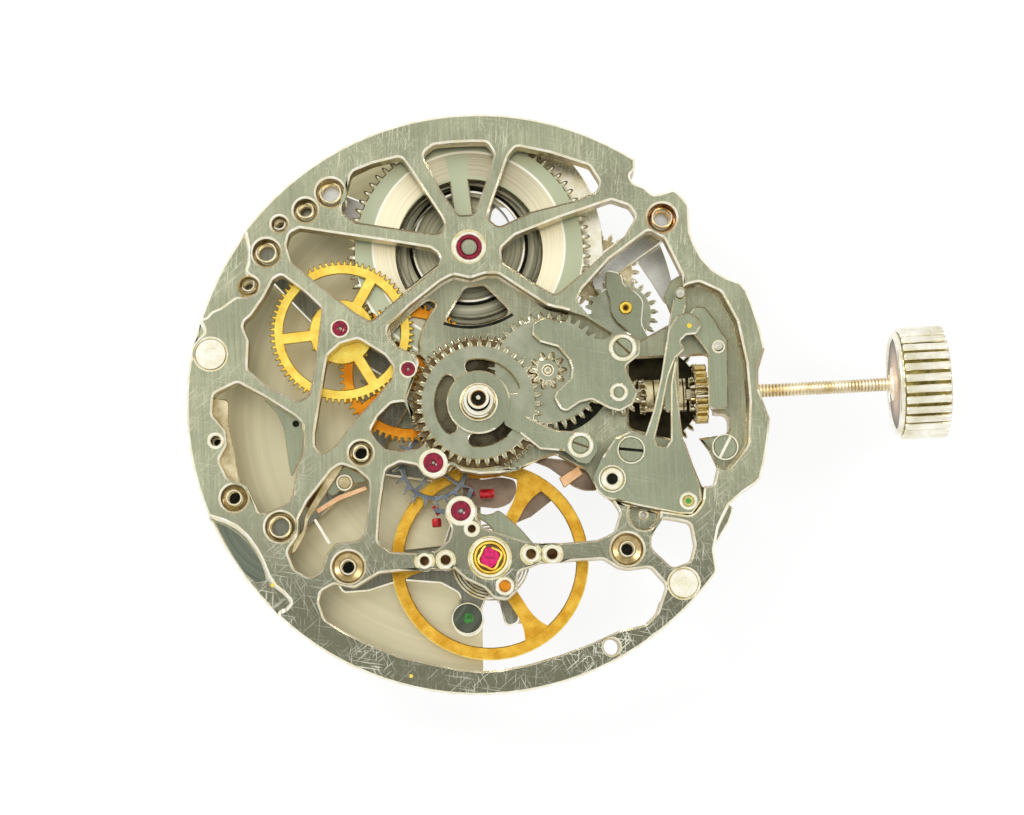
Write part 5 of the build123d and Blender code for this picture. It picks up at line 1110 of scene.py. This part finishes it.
class MOVEMENT_OT_window_pieces(bpy.types.Operator):
    """Ledges, bars, backings, rings and pins that show in the plate's windows"""
    bl_idname = "movement.window_pieces"
    bl_label = "Pieces in the windows"

    def execute(self, context):
        self.left_windows(OUTLINES_PX)
        self.balance_window(OUTLINES_PX)
        self.right_windows(OUTLINES_PX)
        return {"FINISHED"}

    def left_windows(self, outlines):
        ledges = [plate(outlines[name], top, 0.15, finish, 0.04, soft=5) for name, top, finish in (
            ("outer ledge", -0.8, "ledge"), ("middle ledge", -1.1, "cover"), ("lower ledge", -1.0, "ledge"))]
        # The dark disc in the middle ledge's hole is painted shade
        piece("window_ledges", "frame", "plate", *ledges, disc(LEDGE_HOLE_PX, -1.1, 3.4, 0.02, "dark"))
        piece("setting_bits", "frame", "plate", plate(outlines["peach bar"], -1.3, 0.1, "peach", 0.02),
              plate(outlines["brown bar"], -1.15, 0.1, "brown", 0.03),
              plate(outlines["setting bridge"], -1.2, 0.1, "cover", 0.03, soft=4),
              *cored_ring(BOSS_PX, -1.2, 6, 9, 0.14, "edge", 0.1, "ledge"),
              plate(outlines["thin rib"], -1.3, 0.1, "edge", 0.01))

    def balance_window(self, outlines):
        piece("peach_block", "frame", "plate",
              plate(outlines["peach block"], -1.2, 0.3, "peach", 0.03, wall="gilt wall"),
              plate(outlines["bridge below"], -1.6, 0.15, "brown bridge", soft=4))
        piece("pallet_backing", "frame", "plate",
              plate(outlines["pallet backing"], -2.98, 0.06, "brown bridge", 0.02, soft=6),
              plate(outlines["gilt segment"], -2.4, 0.1, "deep gilt", 0.03, soft=4, edge="gilt edge",
                    wall="gilt wall"),
              plate(outlines["brown wedge"], -3.7, 0.1, "brown bridge", 0.01))
        piece("balance_upper_arm", "frame", "plate",
              plate(outlines["upper arm"], -0.7, 0.3, "cover", 0.06, soft=4))
        # The barrel ledge lies in shade and takes the bright edge finish, as painted light
        piece("barrel_ledge", "frame", "bridge", plate(arc(DRUM_PX, 104, 135, -12, 64), -2.75, 0.2, "edge"))
        piece("gilt_spots", "frame", "plate",
              *[disc(spot, -0.02, 2.0, 0.05, "gilt", steps=12) for spot in GILT_SPOTS_PX])
        piece("recess_shade", "frame", "plate",
              plate(arc(RECESS_PX, 50, 66, -80, -22), -1.0, 0.02, "dark", 0.003, wall="dark"))
        piece("window_shade", "frame", "plate",
              plate(arc(DRUM_PX, 80, 83.4, -108, -57), 0.01, 0.04, "dark", 0.005, wall="dark"))

    def right_windows(self, outlines):
        piece("winding_bridge", "frame", "bridge",
              plate(outlines["winding bridge"], -2.85, 0.2, "cover", soft=5),
              *cored_ring(BUSH_PX, -2.9, 2.4, 7, 0.14, "gilt", 0.08, "brown"))
        # The pale bar takes the paler copy of the bridge metal, painted light
        piece("pale_bar", "frame", "bridge",
              plate(outlines["pale bar"], -4.35, 0.1, "bridge painted light", 0.03, soft=6),
              plate(outlines["grey wedge"], -1.3, 0.2, "cover"))
        piece("lever_ring", "setting_lever", "steel", ring(LEVER_RING_PX, -0.36, 4.6, 7, 0.06, "edge"))
        # The dark disc at the foot of the hole is painted shade
        piece("foot_lip", "frame", "plate", ring(FOOT_HOLE_PX, -0.04, 5.2, 8.6, 0.08, "edge"),
              disc(FOOT_HOLE_PX, -1.09, 5.2, 0.02, "dark"))
        piece("lever_pin", "frame", "steel",
              *cored_ring(LEVER_PIN_PX, -0.9, 2.4, 6, 0.1, "edge", 0.1, "gilt"))


class MOVEMENT_OT_clamps(bpy.types.Operator):
    """Dark turned seat of the casing clamp on the plate's lowered rim"""
    bl_idname = "movement.clamps"
    bl_label = "Casing clamps"

    def execute(self, context):
        piece("clamp_seats", "frame", "plate", plate(OUTLINES_PX["clamp seat"], -0.49, 0.03, "clamp", 0.01))
        return {"FINISHED"}


# Round stones of the pallets: pixel, turn and length in pixels
PALLET_STONES_PX = (((487, 494), 0, 15), ((437, 523), 90, 9))


class MOVEMENT_OT_balance_dress(bpy.types.Operator):
    """Flared ends of the balance's arms and the round stones of the pallets"""
    bl_idname = "movement.balance_dress"
    bl_label = "Balance arms and pallet stones"

    def execute(self, context):
        low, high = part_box("balance_wheel")
        axis = centre_of("balance_wheel")
        rim_width = 0.58 * MM
        inner = (high.x - low.x) / 2 - rim_width
        piece("balance_flares", "balance", "gilt",
              *[self.flare(axis, inner, radians(turn), high.z) for turn in (60, 180, 300)])
        stones = []
        for spot, turn_deg, length in PALLET_STONES_PX:
            stone = rod(at(spot, -1.9 * MM), px(4.8) * MM, px(length) * MM, 20, turn_deg)
            shape_by(stone, "BEVEL", width=px(1.6) * MM, segments=3)
            stones.append(dressed(stone, "red stone"))
        piece("pallet_barrels", "pallet_fork", "ruby", *stones)
        return {"FINISHED"}

    def flare(self, axis, inner, turn, top):
        """The spread foot of one arm against the rim, flush with the arm's own faces."""
        arm_half, spread, length, travel, steps = 0.3, 0.42, 1.7, 1.75, 8
        end, end_half, thickness, sunk = inner + 0.1 * MM, 0.5 * MM, 0.2 * MM, 0.01 * MM
        left = []
        for step in range(steps + 1):
            share = step / steps
            left.append((inner - (length - travel * share) * MM, (arm_half + spread * share ** 3) * MM))
        corners = left + [(end, end_half), (end, -end_half)]
        corners += [(reach, -half) for reach, half in reversed(left)]
        points = []
        for reach, half in corners:
            spot = Vector((reach * cos(turn) - half * sin(turn), reach * sin(turn) + half * cos(turn)))
            points.append((axis.x + spot.x, axis.y + spot.y, top - sunk))
        made = drawn(points, filled=True)
        shape_by(made, "SOLIDIFY", thickness=thickness, offset=-1)
        return dressed(made, "balance gold", smooth=None)


class MOVEMENT_OT_springs(bpy.types.Operator):
    """Hairspring and mainspring as thin wound blades"""
    bl_idname = "movement.springs"
    bl_label = "Springs"

    def execute(self, context):
        chosen = sizes()
        self.wind("hairspring", "balance", "balance_staff", chosen.hairspring_turns, chosen.hairspring_blade,
                  0.55 * MM, 1.0, "spring")
        self.wind("mainspring", "barrel", "barrel_arbor", chosen.mainspring_turns, chosen.mainspring_blade,
                  0.95 * MM, 0.14, "dark spring")
        return {"FINISHED"}

    def wind(self, node_name, body, arbor, turns, blade, inner, crowding, finish):
        """A standing blade along a spiral; crowding under 1 packs its turns towards the outside."""
        low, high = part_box(node_name)
        axis = centre_of(arbor)
        outer = min(high.x - axis.x, axis.x - low.x, high.y - axis.y, axis.y - low.y) - blade
        start, count = radians(20), turns * 64
        points = []
        for step in range(count + 1):
            share = step / count
            angle = start + share * turns * 2 * pi
            radius = inner + (outer - inner) * share ** crowding
            points.append((axis.x + radius * cos(angle), axis.y + radius * sin(angle), low.z))
        made = drawn(points)
        lift = {"value": (0, 0, high.z - low.z)}
        edit((bpy.ops.mesh.extrude_region_move, {"TRANSFORM_OT_translate": lift}))
        shape_by(made, "SOLIDIFY", thickness=blade, offset=0)
        piece(node_name + "_blade", body, "spring", dressed(made, finish, smooth=40), stands_for=node_name)


class MOVEMENT_OT_crown(bpy.types.Operator):
    """Ribbed crown with a hollow face in painted shade, a bright rim and a hub"""
    bl_idname = "movement.crown"
    bl_label = "Crown"

    def execute(self, context):
        low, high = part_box("crown")
        axis_z = (low.z + high.z) / 2
        radius = (high.z - low.z) / 2
        length = high.x - low.x
        rib_radius, rib_softness, count = 0.21 * MM, 0.07 * MM, 30
        rim_radius, sheet = 0.93 * radius, 0.06 * MM
        middle = (low.x + high.x) / 2 + 0.02 * length
        rib = rod((middle, 0, axis_z + radius), rib_radius, 0.9 * length, 12)
        shape_by(rib, "BEVEL", width=rib_softness, segments=2)
        bpy.ops.object.transform_apply(location=True, rotation=True, scale=True)
        ribs = [rib]
        for step in range(1, count):
            copy = rib.copy()
            copy.data = rib.data.copy()
            context.scene.collection.objects.link(copy)
            turn = Matrix.Translation((0, 0, axis_z)) @ Matrix.Rotation(2 * pi * step / count, 4, "X")
            copy.matrix_world = turn @ Matrix.Translation((0, 0, -axis_z))
            ribs.append(copy)
        piece("crown_ribs", "stem", "crown", dressed(join(ribs), "crown"))
        # The hollow face is a flat sheet, painted light at the axis and dark towards its edge as shade
        face = rod((low.x, 0, axis_z), 0.86 * radius, sheet)
        piece("crown_inner_face", "stem", "crown", dressed(face, "crown bowl painted shade"))
        bpy.ops.mesh.primitive_torus_add(major_segments=96, minor_segments=12, major_radius=rim_radius,
                                         minor_radius=0.07 * radius, location=(low.x + 0.05 * MM, 0, axis_z),
                                         rotation=(0, QUARTER, 0))
        piece("crown_rim", "stem", "crown", dressed(bpy.context.object, "crown"))
        cap = rod((high.x - 0.025 * MM, 0, axis_z), rim_radius, sheet)
        piece("crown_cap", "stem", "crown", dressed(cap, "knurl"))
        hub = [rod((low.x - 0.5 * thickness * MM, 0, axis_z), reach * MM, thickness * MM, 48)
               for reach, thickness in ((0.8, 0.16), (0.45, 0.3))]
        piece("crown_hub", "stem", "crown", dressed(join(hub), "crown hub"))
        return {"FINISHED"}


# Stage

def camera_matrix(place, target):
    """A camera at a place that looks at a target, with the picture's own turn."""
    ahead = (target - place).normalized()
    up_hint = Vector((sin(TURN), cos(TURN), 0))
    right = ahead.cross(up_hint).normalized()
    up = right.cross(ahead)
    return Matrix((
        (right.x, up.x, -ahead.x, place.x), (right.y, up.y, -ahead.y, place.y),
        (right.z, up.z, -ahead.z, place.z), (0, 0, 0, 1)))


class MOVEMENT_OT_stage(bpy.types.Operator):
    """Camera, soft studio light and a plain white floor"""
    bl_idname = "movement.stage"
    bl_label = "Stage"

    def execute(self, context):
        scene = context.scene
        scene.view_settings.view_transform = "Standard"
        lens = bpy.data.cameras.new("picture camera")
        camera = bpy.data.objects.new("picture camera", lens)
        scene.collection.objects.link(camera)
        target = at(AIM_PX)
        place = Vector((0, -CAMERA_FOOT, CAMERA_HEIGHT))
        camera.matrix_world = camera_matrix(place, target)
        lens.sensor_width = SENSOR_MM
        lens.lens = SENSOR_MM * (target - place).length / (PICTURE_WIDTH_PX * PIXEL)
        lens.clip_start = 0.01
        lens.clip_end = 10
        scene.camera = camera
        self.make_floor()
        self.make_light(scene)
        return {"FINISHED"}

    def make_floor(self):
        bpy.ops.object.select_all(action="DESELECT")
        bpy.ops.mesh.primitive_grid_add(x_subdivisions=8, y_subdivisions=8, size=3,
                                        location=(0, 0, cad_low.z - 0.1 * MM))
        floor = bpy.context.object
        floor.name = "floor"
        white = bpy.data.materials.new("floor white")
        white.use_nodes = True
        tree = white.node_tree
        shader = tree.nodes["Principled BSDF"]
        shader.inputs["Base Color"].default_value = (0.9, 0.9, 0.9, 1)
        shader.inputs["Roughness"].default_value = 0.9
        rays = node(tree, "LightPath").outputs
        seen = maths(tree, "MAXIMUM", rays["Is Camera Ray"],
                     maths(tree, "MAXIMUM", rays["Is Glossy Ray"], rays["Is Transmission Ray"]))
        glow = node(tree, "Emission", put={"Strength": 1.0, "Color": (1, 1, 1, 1)})
        blend = node(tree, "MixShader")
        whiter = maths(tree, "MULTIPLY", seen, 0.88)
        for index, value in enumerate((whiter, shader.outputs[0], glow.outputs[0])):
            tree.links.new(value, blend.inputs[index])
        tree.links.new(blend.outputs[0], tree.nodes["Material Output"].inputs["Surface"])
        floor.data.materials.append(white)

    def make_light(self, scene):
        world = bpy.data.worlds.new("studio")
        world.use_nodes = True
        scene.world = world
        back = world.node_tree.nodes["Background"]
        back.inputs["Color"].default_value = (1, 1, 1, 1)
        back.inputs["Strength"].default_value = 1.0
        for name, place, size, power in (
                ("soft box left", (-0.14, 0.10, 0.16), 0.10, 0.30),
                ("soft box right", (0.16, 0.04, 0.12), 0.06, 0.12)):
            lamp = bpy.data.lights.new(name, "AREA")
            lamp.shape = "DISK"
            lamp.size = size
            lamp.energy = power
            made = bpy.data.objects.new(name, lamp)
            scene.collection.objects.link(made)
            made.location = place
            made.rotation_euler = Vector(place).to_track_quat("Z", "Y").to_euler()


class MOVEMENT_PT_panel(bpy.types.Panel):
    """Lists the movement's pieces and settings"""
    bl_label = "Watch movement"
    bl_idname = "MOVEMENT_PT_panel"
    bl_space_type = "VIEW_3D"
    bl_region_type = "UI"
    bl_category = "Movement"

    def draw(self, context):
        for group in (sizes(), colours()):
            for label in group.__annotations__:
                self.layout.prop(group, label)
        for made in PIECES:
            self.layout.operator(made.bl_idname)


PIECES = (
    MOVEMENT_OT_finishes, MOVEMENT_OT_plate, MOVEMENT_OT_covers, MOVEMENT_OT_bridges, MOVEMENT_OT_wheels,
    MOVEMENT_OT_holes, MOVEMENT_OT_jewels, MOVEMENT_OT_screws, MOVEMENT_OT_hand_posts,
    MOVEMENT_OT_window_pieces, MOVEMENT_OT_clamps, MOVEMENT_OT_balance_dress, MOVEMENT_OT_springs,
    MOVEMENT_OT_crown, MOVEMENT_OT_stage,
)
CLASSES = (MovementSizes, MovementColours, *PIECES, MOVEMENT_PT_panel)


def register():
    for made in CLASSES:
        bpy.utils.register_class(made)
    bpy.types.Scene.movement_sizes = bpy.props.PointerProperty(type=MovementSizes)
    bpy.types.Scene.movement_colours = bpy.props.PointerProperty(type=MovementColours)


def unregister():
    del bpy.types.Scene.movement_colours
    del bpy.types.Scene.movement_sizes
    for made in reversed(CLASSES):
        bpy.utils.unregister_class(made)


def main():
    register()
    for made in PIECES:
        group, name = made.bl_idname.split(".")
        getattr(getattr(bpy.ops, group), name)()


if __name__ == "__main__":
    main()
